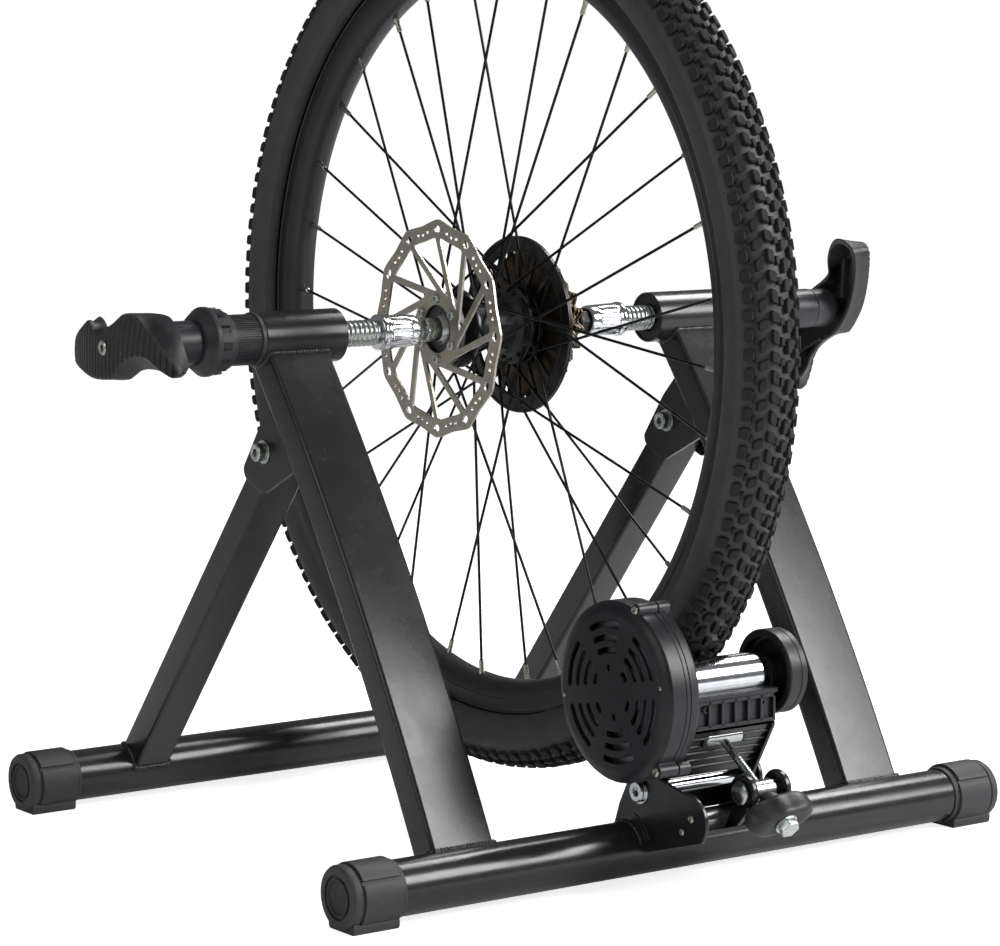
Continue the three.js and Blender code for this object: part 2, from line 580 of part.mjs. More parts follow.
function rimHoop() {
  const { outer, inner, halfWidth, halfNose, seat, well, step } = rim;
  const flange = halfWidth - rim.flange;
  const bed = halfWidth - rim.wall;
  const wall = halfWidth - step;
  const hoop = turned([[-halfWidth, outer], [-halfWidth, outer - seat], [-wall, outer - seat - step],
    [-halfNose, inner], [halfNose, inner], [wall, outer - seat - step], [halfWidth, outer - seat],
    [halfWidth, outer], [flange, outer], [bed, outer - well], [-bed, outer - well], [-flange, outer],
    [-halfWidth, outer]], tyre.sides);
  const nipples = Array.from({ length: spoke.count }, (_, i) => {
    const angle = spokeAngle(i);
    return strut(aroundX(inner - rim.nippleLong, angle, 0), aroundX(inner + rim.nippleRoot, angle, 0),
      rim.nippleRadius, rim.nippleSides);
  });
  return join(hoop, ...nipples);
}

function spokeAngle(i) {
  return radians(spoke.firstDegrees) + turn * i / spoke.count;
}

add('rim', rimHoop(), blackAlloy, wheel);

function hubAndSpokes() {
  const { flange, sheet, left, right, body, neck, bossLong, boss, end } = hub;
  const seat = left - bossLong * 3;
  const shell = turned([[-end, 0], [-end, hub.cone], [seat, hub.cone + hub.coneRise],
    [seat + hub.chamfer, boss], [seat + bossLong, boss], [seat + bossLong + hub.chamfer, neck],
    [left - sheet, neck], [left - sheet, flange], [left, flange], [left + hub.slope, body],
    [right - hub.slope, body], [right, flange], [right + sheet, flange], [right + sheet, hub.freeBody],
    [hub.freeEnd, hub.freeBody], [hub.freeEnd, hub.cone], [end, hub.cone], [end, 0]], medium);
  const spokes = Array.from({ length: spoke.count }, (_, i) => {
    const trail = i % 4 < 2 ? -1 : 1;
    const side = (i % 2 ? right + sheet / 2 : left - sheet / 2) + trail * sheet / 2;
    const swing = trail * spoke.crossings * 2 * turn / spoke.count;
    return strut(aroundX(spoke.hubRing, spokeAngle(i) + swing, side),
      aroundX(rim.inner - rim.nippleLong - gap, spokeAngle(i), 0), spoke.radius, spoke.sides);
  });
  return cut(join(shell, ...spokes), rod(hub.bore, -end - overrun, end + overrun));
}

add('hub_and_spokes', hubAndSpokes(), blackAlloy, wheel);

function brakeDisc() {
  const place = hub.left - hub.bossLong * 3 - gap - disc.thick;
  const first = radians(discDegrees.first);
  const lean = radians(discDegrees.rootLean);
  const wave = (angle) => disc.dip * (1 - Math.cos(disc.lobes * (angle - first))) / 2;
  const around = Array.from({ length: disc.steps }, (_, i) => turn * i / disc.steps + first);
  const rimShape = new THREE.Shape(around.map((angle) => polar(disc.radius - wave(angle), angle)));
  rimShape.holes.push(new THREE.Path(around.map((angle) =>
    polar(disc.radius - disc.track - wave(angle), angle))));
  const track = slab(rimShape, place, place + disc.thick);
  const ring = pipe(disc.ring, disc.inner, place, place + disc.thick, medium);
  const lobes = Array.from({ length: disc.lobes }, (_, i) => first + turn * i / disc.lobes);
  const arms = lobes.map((angle, i) => {
    const rootEnd = polar(disc.ring - disc.bite * 2, angle + (i % 2 ? -lean : lean));
    const rimEnd = polar(disc.radius - disc.track + disc.bite, angle);
    const side = rimEnd.clone().sub(rootEnd).normalize().rotateAround(at(0, 0), Math.PI / 2)
      .multiplyScalar(disc.arm / 2);
    return slab([rootEnd.clone().sub(side), rimEnd.clone().sub(side), rimEnd.clone().add(side),
      rootEnd.clone().add(side)], place, place + disc.thick);
  });
  const holes = lobes.map((angle) => {
    const spot = polar(disc.radius - disc.holeIn, angle);
    return rod(disc.hole, place - overrun, place + disc.thick + overrun, hexSides)
      .translate(0, spot.x, spot.y);
  });
  const bolts = Array.from({ length: disc.bolts }, (_, i) => {
    const spot = polar(disc.boltRing, turn * i / disc.bolts);
    return rod(disc.boltHead, place - disc.boltHigh, place + disc.thick / 2, 8).translate(0, spot.x, spot.y);
  });
  return cut(join(track, ring, ...arms, ...bolts), ...holes);
}

add('brake_disc', brakeDisc(), steel, wheel);

function spokeGuard() {
  const { radius, inner, sheet, rim: edge, rimHigh, place } = guard;
  return turned([[place, inner], [place, radius - edge], [place - rimHigh / 2, radius - edge],
    [place - rimHigh / 2, radius], [place + rimHigh / 2, radius], [place + rimHigh / 2, radius - edge],
    [place + sheet, radius - edge], [place + sheet, inner], [place, inner]], medium);
}

add('spoke_guard', spokeGuard(), smoke, wheel);

function sprocketStack() {
  const { first, spacing, thick, teeth, pitch } = cassette;
  const core = hub.freeBody + cassette.wall;
  const profile = teeth.flatMap((count, i) => {
    const place = first + spacing * i;
    const radius = pitch / (2 * Math.sin(Math.PI / count)) + cassette.tooth / 2;
    return [[place, core], [place, radius], [place + thick, radius], [place + thick, core]];
  });
  const bore = hub.freeBody + 2 * gap;
  const end = profile.at(-1)[0];
  return turned([[first, bore], ...profile, [end, bore], [first, bore]], sprocketSides);
}

add('cassette', sprocketStack(), steel, wheel);

function valveStem() {
  const angle = spokeAngle(valve.spokes);
  const inner = rim.inner - valve.long;
  const stem = strut(aroundX(inner, angle, 0), aroundX(rim.inner - gap, angle, 0), valve.radius, 8);
  const cap = strut(aroundX(inner, angle, 0), aroundX(inner + valve.capLong, angle, 0), valve.cap, 8);
  return join(stem, cap);
}

add('valve_stem', valveStem(), zinc, wheel);

function axleBar() {
  const beyond = cup.pocketDeep - gap - axle.nutEnd;
  return rod(axle.radius, -cup.reachLeft - beyond, cup.reachRight + beyond);
}

add('axle', axleBar(), steel, wheel);

// Each nut stands off the hub by the thickness of a bicycle frame's dropout
function axleNut(reach) {
  const start = hub.end + axle.dropout;
  const end = reach + cup.pocketDeep - gap;
  return cut(rod(axle.nutHex, start, end, hexSides),
    rod(axle.radius + gap, start - overrun, end + overrun));
}

add('axle_nut_left', axleNut(cup.reachLeft), blackAlloy, wheel).rotation.z = Math.PI;
add('axle_nut_right', axleNut(cup.reachRight), blackAlloy, wheel);

// Saddle: folded bracket welded on the rear base tube, which carries the resistance unit
const tiltPoint = at(-spread - tilt.back, base.height + tilt.up);
const barrelPoint = at(-spread - barrel.back, base.height + barrel.up);
const lobePoint = at(-spread - saddle.rearBack + saddle.lobe, base.height + saddle.rearUp);

function saddleOutline() {
  return [at(-spread + base.radius, base.height + base.radius / 2),
    ...arc(tiltPoint, saddle.dome, 0.3, 1.7, 4),
    ...arc(lobePoint, saddle.lobe, 1.3, 4.2, 5), at(-spread - base.radius, base.height)];
}

function saddleBracket() {
  const half = saddle.inner + saddle.sheet;
  const cheeks = [-half, saddle.inner].map((start) => slab(saddleOutline(), start, start + saddle.sheet));
  const low = at(-spread - base.radius / 2, base.height);
  const rearUp = at(-spread - saddle.webBack, base.height + saddle.webUp);
  const floor = slab([low, at(low.x, low.y + saddle.sheet * 2), at(rearUp.x, rearUp.y + saddle.sheet),
    rearUp], -half, half);
  const ears = [-barrel.ear - barrel.earSheet, barrel.ear].map((start) =>
    slab([...arc(barrelPoint, barrel.earRadius, -0.6, Math.PI + 0.4, 6),
      rearUp, at(rearUp.x + barrel.earFoot, rearUp.y - barrel.earDrop)], start, start + barrel.earSheet));
  const { rivet, rivetHigh, rivetIn, rivetAhead, rivetStep, rivetDown, rivetRise } = saddle;
  const rivets = [0, 1].map((i) => rod(rivet, -half - rivetHigh, -half + rivetIn, 8)
    .translate(0, lobePoint.x + rivetAhead - i * rivetStep, lobePoint.y - rivetDown + i * rivetRise));
  const tube = rod(base.radius + gap, -half - overrun, half + overrun, fine)
    .translate(0, -spread, base.height);
  const pin = rod(tilt.radius + gap, -half - overrun, half + overrun).translate(0, tiltPoint.x, tiltPoint.y);
  const trunnion = rod(barrel.trunnion + gap, -barrel.ear - overrun * 2, barrel.ear + overrun * 2)
    .translate(0, barrelPoint.x, barrelPoint.y);
  return cut(join(floor, ...cheeks, ...ears, ...rivets), tube, pin, trunnion);
}

add('saddle_bracket', saddleBracket(), blackPaint);

function tiltPin() {
  const half = saddle.inner + saddle.sheet + gap;
  const shank = rod(tilt.radius, -half - tilt.shankIn, half + tilt.shankIn);
  const heads = join(shank, rod(tilt.head, -half - tilt.headHigh, -half),
    rod(tilt.head, half, half + tilt.headHigh, hexSides));
  return cut(heads, rod(pivot.socket, -half - tilt.headHigh - overrun, -half - tilt.shankIn, hexSides));
}

add('tilt_pin', tiltPin(), chrome).position.set(0, tiltPoint.x, tiltPoint.y);

// Resistance unit, drawn about the roller axis, which lies just clear of the tyre
const unit = new THREE.Group();
unit.position.set(0, -rollerBack, rollerHeight);
part.add(unit);
const unitTilt = tiltPoint.clone().sub(at(-rollerBack, rollerHeight));
const crossPoint = at(-crossPin.back, -web.low - crossPin.below);

function unitBracket() {
  const outline = [...arc(at(0, 0), arm.boss, -0.2, Math.PI, 7),
    at(-arm.kneeBack, -arm.kneeDown + arm.kneeRise), at(-arm.kneeBack - arm.kneeStep, -arm.kneeDown),
    ...arc(unitTilt, tilt.bossRadius, -2.6, 0.2, 6)];
  const arms = [-arm.inner - arm.sheet, arm.inner].map((start) => slab(outline, start, start + arm.sheet));
  const half = arm.inner + arm.bite;
  const sheet = block(2 * half, web.sheet, web.low - web.high, -half, -web.back - web.sheet / 2, -web.low);
  const lip = block(2 * half, web.lip, web.sheet, -half, -web.back - web.lip / 2, -web.high - web.sheet);
  const deep = web.back + web.sheet;
  const fixer = block(2 * half, deep, web.sheet, -half, -deep / 2, -web.low);
  const tabs = [-crossPin.halfLong - gap - crossPin.tab, crossPin.halfLong + gap].map((start) =>
    slab([...arc(crossPoint, crossPin.tabRadius, -Math.PI, 0, 6), at(crossPoint.x + crossPin.tabRadius,
      -web.low + web.sheet), at(crossPoint.x - crossPin.tabRadius, -web.low + web.sheet)], start,
    start + crossPin.tab));
  const bore = rod(shaft.radius + gap, -half - overrun * 2, half + overrun * 2);
  const pin = rod(tilt.radius + gap, -half - overrun * 2, half + overrun * 2)
    .translate(0, unitTilt.x, unitTilt.y);
  const cross = rod(crossPin.trunnion + gap, -half / 2 - overrun, half / 2 + overrun)
    .translate(0, crossPoint.x, crossPoint.y);
  return cut(join(sheet, lip, fixer, ...arms, ...tabs), bore, pin, cross);
}

add('unit_bracket', unitBracket(), blackPaint, unit);

function ribbedPanel() {
  const face = -web.back - web.sheet - gap;
  const { halfWide, low, high, sheet, rib, ribWide, rail } = panel;
  const top = -high - web.sheet - gap;
  const back = block(2 * halfWide, sheet, top + low, -halfWide, face - sheet / 2, -low);
  const ribMiddle = face - sheet - rib / 2 + panel.ribIn;
  const rails = [-low, top - rail].map((z) => block(2 * halfWide, rib, rail, -halfWide, ribMiddle, z));
  const ribs = Array.from({ length: panel.ribs }, (_, i) => {
    const place = -halfWide + (2 * halfWide - ribWide) * i / (panel.ribs - 1);
    return block(ribWide, rib, top + low, place, ribMiddle, -low);
  });
  const screws = [-1, 1].map((sign) => rod(panel.screw, -panel.screwIn, panel.screwOut, 8)
    .rotateZ(Math.PI / 2).translate(sign * panel.screwApart, face - sheet, (top - low) / 2 + panel.screwUp));
  return join(back, ...rails, ...ribs, ...screws);
}

add('ribbed_panel', ribbedPanel(), blackPlastic, unit);

// Casing cover with its rings of arc vents
const ventRings = vents.ringShares.map((share) => casing.radius * share);

function ventSlot(radius, from, to) {
  const half = vents.wide / 2;
  const steps = Math.max(vents.least, Math.round(vents.steps * radius / ventRings[0]));
  const outline = [...arc(at(0, 0), radius + half, from, to, steps),
    ...arc(at(0, 0), radius - half, to, from, steps)];
  return slab(outline, -casing.front - overrun, -casing.front + casing.wall + overrun);
}

function ventSlots() {
  const [lean, end, cap] = [ventDegrees.lean, ventDegrees.sideEnd, ventDegrees.capHalf].map(radians);
  return ventRings.flatMap((radius, ring) => {
    const start = Math.asin(vents.band / 2 / radius);
    const sides = [start, Math.PI - end, Math.PI + start, turn - end].map((from) =>
      ventSlot(radius, from + lean, from + lean + end - start));
    const caps = ring < ventRings.length - 1 ? [Math.PI / 2, -Math.PI / 2].map((mid) =>
      ventSlot(radius, mid + lean - cap, mid + lean + cap)) : [];
    return [...sides, ...caps];
  });
}

function casingBosses(start, end, radius) {
  const { up, down } = casingBossDegrees;
  return [[casing.bossUpOut, up], [casing.bossDownOut, down]].map(([beyond, angle]) => {
    const spot = polar(casing.radius + beyond, radians(angle));
    return rod(radius, start, end, 8).translate(0, spot.x, spot.y);
  });
}

function casingCover() {
  const { front, seam, radius, wall, bevel, dome, domeWide } = casing;
  const shoulder = -front + dome;
  const shell = turned([[-front, 0], [-front, radius - domeWide], [shoulder, radius - bevel],
    [shoulder + bevel, radius], [-seam, radius], [-seam, radius - wall], [shoulder + wall, radius - wall],
    [-front + wall, radius - domeWide], [-front + wall, 0]], fine);
  const top = shoulder - casing.bossHigh;
  const bosses = casingBosses(top, -seam, casing.boss);
  const screws = casingBosses(top - casing.screwHigh, shoulder, casing.screw);
  const inside = rod(radius - wall, shoulder + wall, -seam + overrun, fine);
  return cut(join(shell, ...bosses, ...screws), inside, ...ventSlots());
}

add('casing_cover', casingCover(), blackPlastic, unit);

function casingBack() {
  const { seam, back, radius, wall } = casing;
  const start = -seam + gap;
  const neckEnd = -arm.inner - arm.sheet - gap;
  const shell = turned([[start, radius - wall], [start, radius], [-back, radius], [-back, casing.neck],
    [neckEnd, casing.neck], [neckEnd, shaft.radius + gap], [-back - wall, shaft.radius + gap],
    [-back - wall, radius - wall], [start, radius - wall]], fine);
  return join(shell, ...casingBosses(start, -back + casing.bossBite, casing.boss).map((boss) =>
    cut(boss, rod(radius - wall / 2, start - overrun, -back - wall / 2, fine))));
}

add('casing_back', casingBack(), blackPlastic, unit);

function magnetRing() {
  const end = -casing.back - casing.wall - gap;
  return pipe(magnets.outer, magnets.inner, end - magnets.thick, end, medium);
}

add('magnet_ring', magnetRing(), steel, unit);

function dragDisc() {
  const start = -casing.front + casing.wall + magnets.discGap;
  const plate = pipe(magnets.disc, shaft.radius + gap, start, start + magnets.discThick, medium);
  const bolts = Array.from({ length: magnets.bolts }, (_, i) => {
    const spot = polar(magnets.boltRing, turn * (i + 0.5) / magnets.bolts);
    return rod(magnets.bolt, start - magnets.boltHigh, start + magnets.boltIn, hexSides)
      .translate(0, spot.x, spot.y);
  });
  return join(plate, ...bolts);
}

add('drag_disc', dragDisc(), steel, unit);

function rollerDrum() {
  const { halfLong, radius, bevel } = roller;
  const body = turned([[-halfLong, 0], [-halfLong, radius - bevel], [-halfLong + bevel, radius],
    [halfLong - bevel, radius], [halfLong, radius - bevel], [halfLong, 0]], medium);
  return cut(body, rod(shaft.radius + gap, -halfLong - overrun, halfLong + overrun));
}

add('roller', rollerDrum(), chrome, unit);
add('roller_shaft', rod(shaft.radius, shaft.left, shaft.right), steel, unit);

function flywheelBody() {
  const { radius, start, thick, groove, grooveWide, recess, lip, hub: boss } = flywheel;
  const end = start + thick;
  const middle = start + thick / 2;
  const { bevel, hubRise } = flywheel;
  const bore = shaft.radius + gap;
  return turned([[start, bore], [start, boss], [start + recess, boss + hubRise],
    [start + recess, radius - lip], [start, radius - lip], [start, radius - bevel], [start + bevel, radius],
    [middle - grooveWide / 2, radius], [middle - grooveWide / 2, radius - groove],
    [middle + grooveWide / 2, radius - groove], [middle + grooveWide / 2, radius], [end - bevel, radius],
    [end, radius - bevel], [end, bore], [start, bore]], fine);
}

add('flywheel', flywheelBody(), blackAlloy, unit);

// Tension screw: it turns in the cross pin, passes through the swivel barrel and carries the star knob
const screwLine = barrelPoint.clone().sub(at(-rollerBack, rollerHeight)).sub(crossPoint);
const barrelAway = screwLine.length();
const screwAngle = Math.atan2(screwLine.y, screwLine.x);

// Takes a form drawn along X from the cross pin onto the line of the tension screw
function alongScrew(geometry) {
  return geometry.rotateZ(Math.PI / 2).rotateX(screwAngle);
}

function crossPinBar() {
  const { radius, halfLong, trunnion, tab } = crossPin;
  const reach = halfLong + gap + tab + gap;
  const bar = join(rod(radius, -halfLong, halfLong), rod(trunnion, -reach, reach));
  return cut(bar, alongScrew(rod(tension.bore, -overrun / 2, radius + overrun)));
}

add('cross_pin', crossPinBar(), chrome, unit).position.set(0, crossPoint.x, crossPoint.y);

function tensionScrew() {
  const start = -overrun / 2 + gap;
  const knobEnd = barrelAway + tension.knobStart + tension.knobThick;
  return alongScrew(join(rod(tension.radius, start, knobEnd + tension.inHex, 12),
    rod(tension.hex, knobEnd + gap, knobEnd + gap + tension.hexHigh, hexSides)));
}

add('tension_screw', tensionScrew(), zinc, unit).position.set(0, crossPoint.x, crossPoint.y);

function starKnob() {
  const start = barrelAway + tension.knobStart;
  const end = start + tension.knobThick;
  const lobes = Array.from({ length: tension.lobes }, (_, i) => {
    const spot = polar(tension.reach, turn * (i + 0.25) / tension.lobes);
    return rod(tension.lobe, start, end, 12).translate(0, spot.x, spot.y);
  });
  const body = join(rod(tension.waist, start, end, medium), ...lobes);
  return alongScrew(cut(body, rod(tension.radius + gap, start - overrun, end + overrun)));
}

add('star_knob', starKnob(), blackPlastic, unit).position.set(0, crossPoint.x, crossPoint.y);

function swivelBarrel() {
  const { radius, halfLong, trunnion, head, headHigh, clip, clipHigh, ear, earSheet } = barrel;
  const seat = ear + earSheet + gap;
  const deep = seat + barrel.trunnionIn;
  const body = join(rod(radius, -halfLong, halfLong), rod(trunnion, -deep, deep),
    rod(head, -seat - headHigh, -seat), rod(clip, seat, seat + clipHigh));
  return cut(body, alongScrew(rod(tension.bore, -radius - overrun, radius + overrun)));
}

add('swivel_barrel', swivelBarrel(), chrome).position.set(0, barrelPoint.x, barrelPoint.y);

// The whole is drawn about the point below the axle, then stood with the middle of its box on the origin
const middle = new THREE.Box3().setFromObject(part, true).getCenter(new THREE.Vector3());
part.position.set(-middle.x, -middle.y, 0);

export default part;
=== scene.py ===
import bpy
import math
import random
from mathutils import Matrix, Vector


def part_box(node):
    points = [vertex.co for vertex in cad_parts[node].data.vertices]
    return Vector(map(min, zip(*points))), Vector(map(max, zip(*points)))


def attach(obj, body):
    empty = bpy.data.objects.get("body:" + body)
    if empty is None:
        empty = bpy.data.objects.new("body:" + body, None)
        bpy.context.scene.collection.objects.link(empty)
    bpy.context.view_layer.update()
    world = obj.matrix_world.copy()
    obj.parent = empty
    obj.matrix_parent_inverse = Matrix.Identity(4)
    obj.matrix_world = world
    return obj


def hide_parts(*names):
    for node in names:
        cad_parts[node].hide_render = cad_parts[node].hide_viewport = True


# Rear bicycle wheel held in a folding turbo trainer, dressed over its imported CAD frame.
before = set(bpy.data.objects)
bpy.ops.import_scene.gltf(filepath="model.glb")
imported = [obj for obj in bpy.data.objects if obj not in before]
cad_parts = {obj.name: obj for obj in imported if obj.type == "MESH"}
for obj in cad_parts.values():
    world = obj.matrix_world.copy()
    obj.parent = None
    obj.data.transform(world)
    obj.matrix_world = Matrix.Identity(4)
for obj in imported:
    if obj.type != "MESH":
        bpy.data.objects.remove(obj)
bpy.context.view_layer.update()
random.seed(11)

mm = 0.001  # the frame is in metres, every size below is in millimetres
fullTurn = 2 * math.pi
axleHeight = 368
tubeHeight = 23
sides = {"left": -1, "right": 1}


# The drawing starts on the floor below the axle, in the wheel's middle plane
rimLow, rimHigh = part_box("rim")
drawnFrom = Vector(((rimLow.x + rimHigh.x) / 2, (rimLow.y + rimHigh.y) / 2, 0))


def nodeSpan(node):
    low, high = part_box(node)
    return (low - drawnFrom) / mm, (high - drawnFrom) / mm


# Colour and node helpers

def linearColour(hexColour):
    channels = [int(hexColour[i:i + 2], 16) / 255 for i in (1, 3, 5)]
    return [c / 12.92 if c <= 0.04045 else ((c + 0.055) / 1.055) ** 2.4 for c in channels] + [1]


def addNode(material, kind, settings=None, inputs=None):
    tree = material.node_tree
    node = tree.nodes.new("ShaderNode" + kind)
    for name, value in (settings or {}).items():
        setattr(node, name, value)
    for name, value in (inputs or {}).items():
        if isinstance(value, bpy.types.NodeSocket):
            tree.links.new(value, node.inputs[name])
        else:
            node.inputs[name].default_value = value
    return node


def noise(material, sizeMm, detail=3):
    place = addNode(material, "TexCoord").outputs["Object"]
    settings = {"Vector": place, "Scale": 1 / (sizeMm * mm), "Detail": detail, "Roughness": 0.6}
    return addNode(material, "TexNoise", inputs=settings).outputs["Fac"]


def ranged(material, value, low, high, start=0.3, end=0.7):
    inputs = {"Value": value, "From Min": start, "From Max": end, "To Min": low, "To Max": high}
    return addNode(material, "MapRange", inputs=inputs).outputs["Result"]


def blended(material, share, first, second):
    inputs = {"Factor": share, 6: first, 7: second}
    return addNode(material, "Mix", {"data_type": "RGBA"}, inputs).outputs[2]


# One surface: two close shades in soft patches, a roughness range and a fine grain, then perhaps pale
# dust in streaks and specks (colour, mm, share) and edges rubbed a little brighter (colour, share)
def surface(name, colours, patchMm, roughness, grainMm, relief, dust=None, wear=None, **sockets):
    material = bpy.data.materials.new(name)
    material.use_nodes = True
    shader = material.node_tree.nodes["Principled BSDF"]
    links = material.node_tree.links
    patches = noise(material, patchMm)
    colour = blended(material, ranged(material, patches, 0, 1), *map(linearColour, colours))
    grain = noise(material, grainMm, 2)
    if dust:
        specks = ranged(material, noise(material, dust[1], 8), 0, dust[2], 0.5, 0.75)
        colour = blended(material, specks, colour, linearColour(dust[0]))
    if wear:
        edge = addNode(material, "NewGeometry").outputs["Pointiness"]
        rubbed = ranged(material, edge, 0, wear[1], 0.51, 0.56)
        colour = blended(material, rubbed, colour, linearColour(wear[0]))
    links.new(colour, shader.inputs["Base Color"])
    streaks = noise(material, patchMm / 3, 6)
    links.new(ranged(material, streaks, *roughness), shader.inputs["Roughness"])
    bump = addNode(material, "Bump", inputs={"Height": grain, "Strength": relief,
                                             "Distance": grainMm * mm * 0.4})
    links.new(bump.outputs["Normal"], shader.inputs["Normal"])
    for socket, value in sockets.items():
        shader.inputs[socket].default_value = value
    return material


# Steel tube, powder coated in satin black: orange-peel ripple about 2 mm wide, long soft highlights
powderCoat = surface("powderCoatedSteel", ("#131315", "#19191b"), patchMm=60,
                     roughness=(0.19, 0.27), grainMm=2.2, relief=0.05, dust=("#5f5f5f", 9, 0.07),
                     wear=("#3d3d3f", 0.3), IOR=1.48)
# The same coat on the rectangular legs, which take a warmer, flatter sheen; its colour, a shade lighter
# than the tubes' coat, is painted sheen
legCoatPaintedSheen = surface("powderCoatedLegPaintedSheen", ("#19191a", "#1e1e1f"), patchMm=90, roughness=(0.23, 0.31),
                  grainMm=2.2, relief=0.06, dust=("#4c4c4c", 12, 0.04), wear=("#484848", 0.35),
                  Metallic=0.15, IOR=1.5)
# Weld run under the coat: the same black, a little glossier where it has flowed
weldCoat = surface("coatedWeldBead", ("#1c1c1e", "#29292b"), patchMm=8, roughness=(0.2, 0.3),
                   grainMm=1.2, relief=0.25, IOR=1.5)
# Glass-filled nylon, injection moulded and spark eroded: even fine grain, drawn at 0.6 mm so it shows
mouldedNylon = surface("mouldedNylon", ("#1a1a1d", "#212124"), patchMm=25, roughness=(0.38, 0.5),
                       grainMm=0.6, relief=0.16, dust=("#77746e", 5, 0.12), wear=("#48484c", 0.5),
                       IOR=1.5)
# ABS casing of the resistance unit: smoother than the nylon, faint flow marks
mouldedAbs = surface("mouldedAbs", ("#121216", "#18181c"), patchMm=30, roughness=(0.34, 0.44),
                     grainMm=0.8, relief=0.09, dust=("#6f6f6d", 4, 0.07), wear=("#3c3c41", 0.4),
                     IOR=1.46)
# Moulded rubber of the foot caps: matt, dusty where it is handled
footRubber = surface("mouldedFootRubber", ("#1d1d20", "#252528"), patchMm=18, roughness=(0.5, 0.66),
                     grainMm=0.9, relief=0.2, dust=("#8a8780", 6, 0.14), wear=("#4e4d50", 0.5),
                     IOR=1.52)
# Tyre compound: vulcanised rubber, matt side wall with a brown cast and dust between the knobs
treadRubber = surface("vulcanisedTread", ("#131211", "#1a1817"), patchMm=14, roughness=(0.62, 0.82),
                      grainMm=1.0, relief=0.25, dust=("#6d665c", 5, 0.12), wear=("#302d2a", 0.5),
                      IOR=1.4)
wallRubber = surface("vulcanisedSideWall", ("#343336", "#3b3a3d"), patchMm=40,
                     roughness=(0.45, 0.6), grainMm=0.7, relief=0.12, dust=("#6f6a62", 12, 0.12),
                     IOR=1.52)
# Aluminium rim and hub, black anodised: a thin hard skin with a quiet metallic sheen
anodised = surface("blackAnodisedAluminium", ("#323234", "#3a3a3c"), patchMm=40,
                   roughness=(0.28, 0.4), grainMm=0.8, relief=0.05, wear=("#4d4d50", 0.5),
                   Metallic=0.55)
# Drawn stainless spoke, blacked
blackedSpoke = surface("blackedStainlessSpoke", ("#1b1b1c", "#29292a"), patchMm=20,
                       roughness=(0.25, 0.35), grainMm=1.5, relief=0.03, Metallic=0.8)
# Brass nipple and small fasteners, nickel plated: bright and slightly warm
nickel = surface("nickelPlatedBrass", ("#c9c5bb", "#b3aea3"), patchMm=3, roughness=(0.2, 0.32),
                 grainMm=0.8, relief=0.05, Metallic=1)
# Brake disc: stainless plate, ground on both faces, so it is grey and softly scratched
groundSteel = surface("groundStainless", ("#a9a398", "#bdb7ab"), patchMm=12, roughness=(0.3, 0.46),
                      grainMm=0.7, relief=0.12, dust=("#7d766a", 5, 0.35), Metallic=0.9)
# Chrome plate over polished steel: near mirror, with fine handling haze
chromePlate = surface("chromePlate", ("#dfe1e4", "#cfd2d6"), patchMm=10, roughness=(0.1, 0.16),
                      grainMm=1.6, relief=0.004, Metallic=1)
# Zinc plate, clear passivated: pale blue grey with a soft bloom
zincPlate = surface("passivatedZinc", ("#b7c1c3", "#c9c9bf"), patchMm=5, roughness=(0.22, 0.38),
                    grainMm=0.8, relief=0.08, Metallic=1)
# Sprockets: pressed steel, browned with oil
oiledSteel = surface("oiledSprocketSteel", ("#3a332c", "#57493a"), patchMm=4, roughness=(0.3, 0.5),
                     grainMm=0.8, relief=0.2, dust=("#8b7a63", 3, 0.4), Metallic=0.85)
# Cast iron flywheel, black dipped, with its rim turned smooth
castIron = surface("dippedCastIron", ("#161618", "#202021"), patchMm=12, roughness=(0.34, 0.48),
                   grainMm=1.1, relief=0.1, wear=("#454546", 0.4), Metallic=0.2, IOR=1.48)
# Polished plastic of the spoke guard
guardPlastic = surface("mouldedGuardPlastic", ("#0d0d0f", "#121214"), patchMm=30,
                       roughness=(0.24, 0.34), grainMm=1.0, relief=0.03, dust=("#5c5a56", 6, 0.08),
                       IOR=1.46)
# Aluminium and magnets inside the casing, seen only through the vents
plainAlloy = surface("turnedAluminium", ("#8d9296", "#7b8287"), patchMm=8, roughness=(0.3, 0.45),
                     grainMm=0.8, relief=0.1, Metallic=1)
print("materials ready")


# Mesh helpers: a shape is a list of points in mm and a list of faces

def joined(*shapes):
    points, faces = [], []
    for shapePoints, shapeFaces in shapes:
        start = len(points)
        points += [Vector(p) for p in shapePoints]
        faces += [[i + start for i in face] for face in shapeFaces]
    return points, faces


def moved(shape, x=0, y=0, z=0, turn=0):
    spin = Matrix.Rotation(turn, 3, "X")
    return [spin @ Vector(p) + Vector((x, y, z)) for p in shape[0]], shape[1]


def transformed(shape, matrix):
    return [matrix @ Vector(p) for p in shape[0]], shape[1]


def mirrored(shape):
    return [Vector((-p[0], p[1], p[2])) for p in shape[0]], [face[::-1] for face in shape[1]]


def polar(radius, angle, centre=(0, 0)):
    return centre[0] + radius * math.cos(angle), centre[1] + radius * math.sin(angle)


# Faces between one ring of points and the next, where a ring of one point closes an end
def skinned(rings, closed=False):
    faces = []
    for a, b in zip(rings, rings[1:] + (rings[:1] if closed else [])):
        count = max(len(a), len(b))
        for i in range(count if count > 1 else 0):
            j = (i + 1) % count
            corners = [a[i % len(a)], a[j % len(a)], b[j % len(b)], b[i % len(b)]]
            faces.append([c for k, c in enumerate(corners) if c not in corners[:k]])
    return faces


# A form turned about the X axis, from points of (place along X, radius)
def turned(profile, segments=96, closed=False):
    points, rings = [], []
    for x, radius in profile:
        count = 1 if radius < 1e-6 else segments
        rings.append([len(points) + i for i in range(count)])
        points += [Vector((x, *polar(radius, fullTurn * i / count))) for i in range(count)]
    return points, skinned(rings, closed)


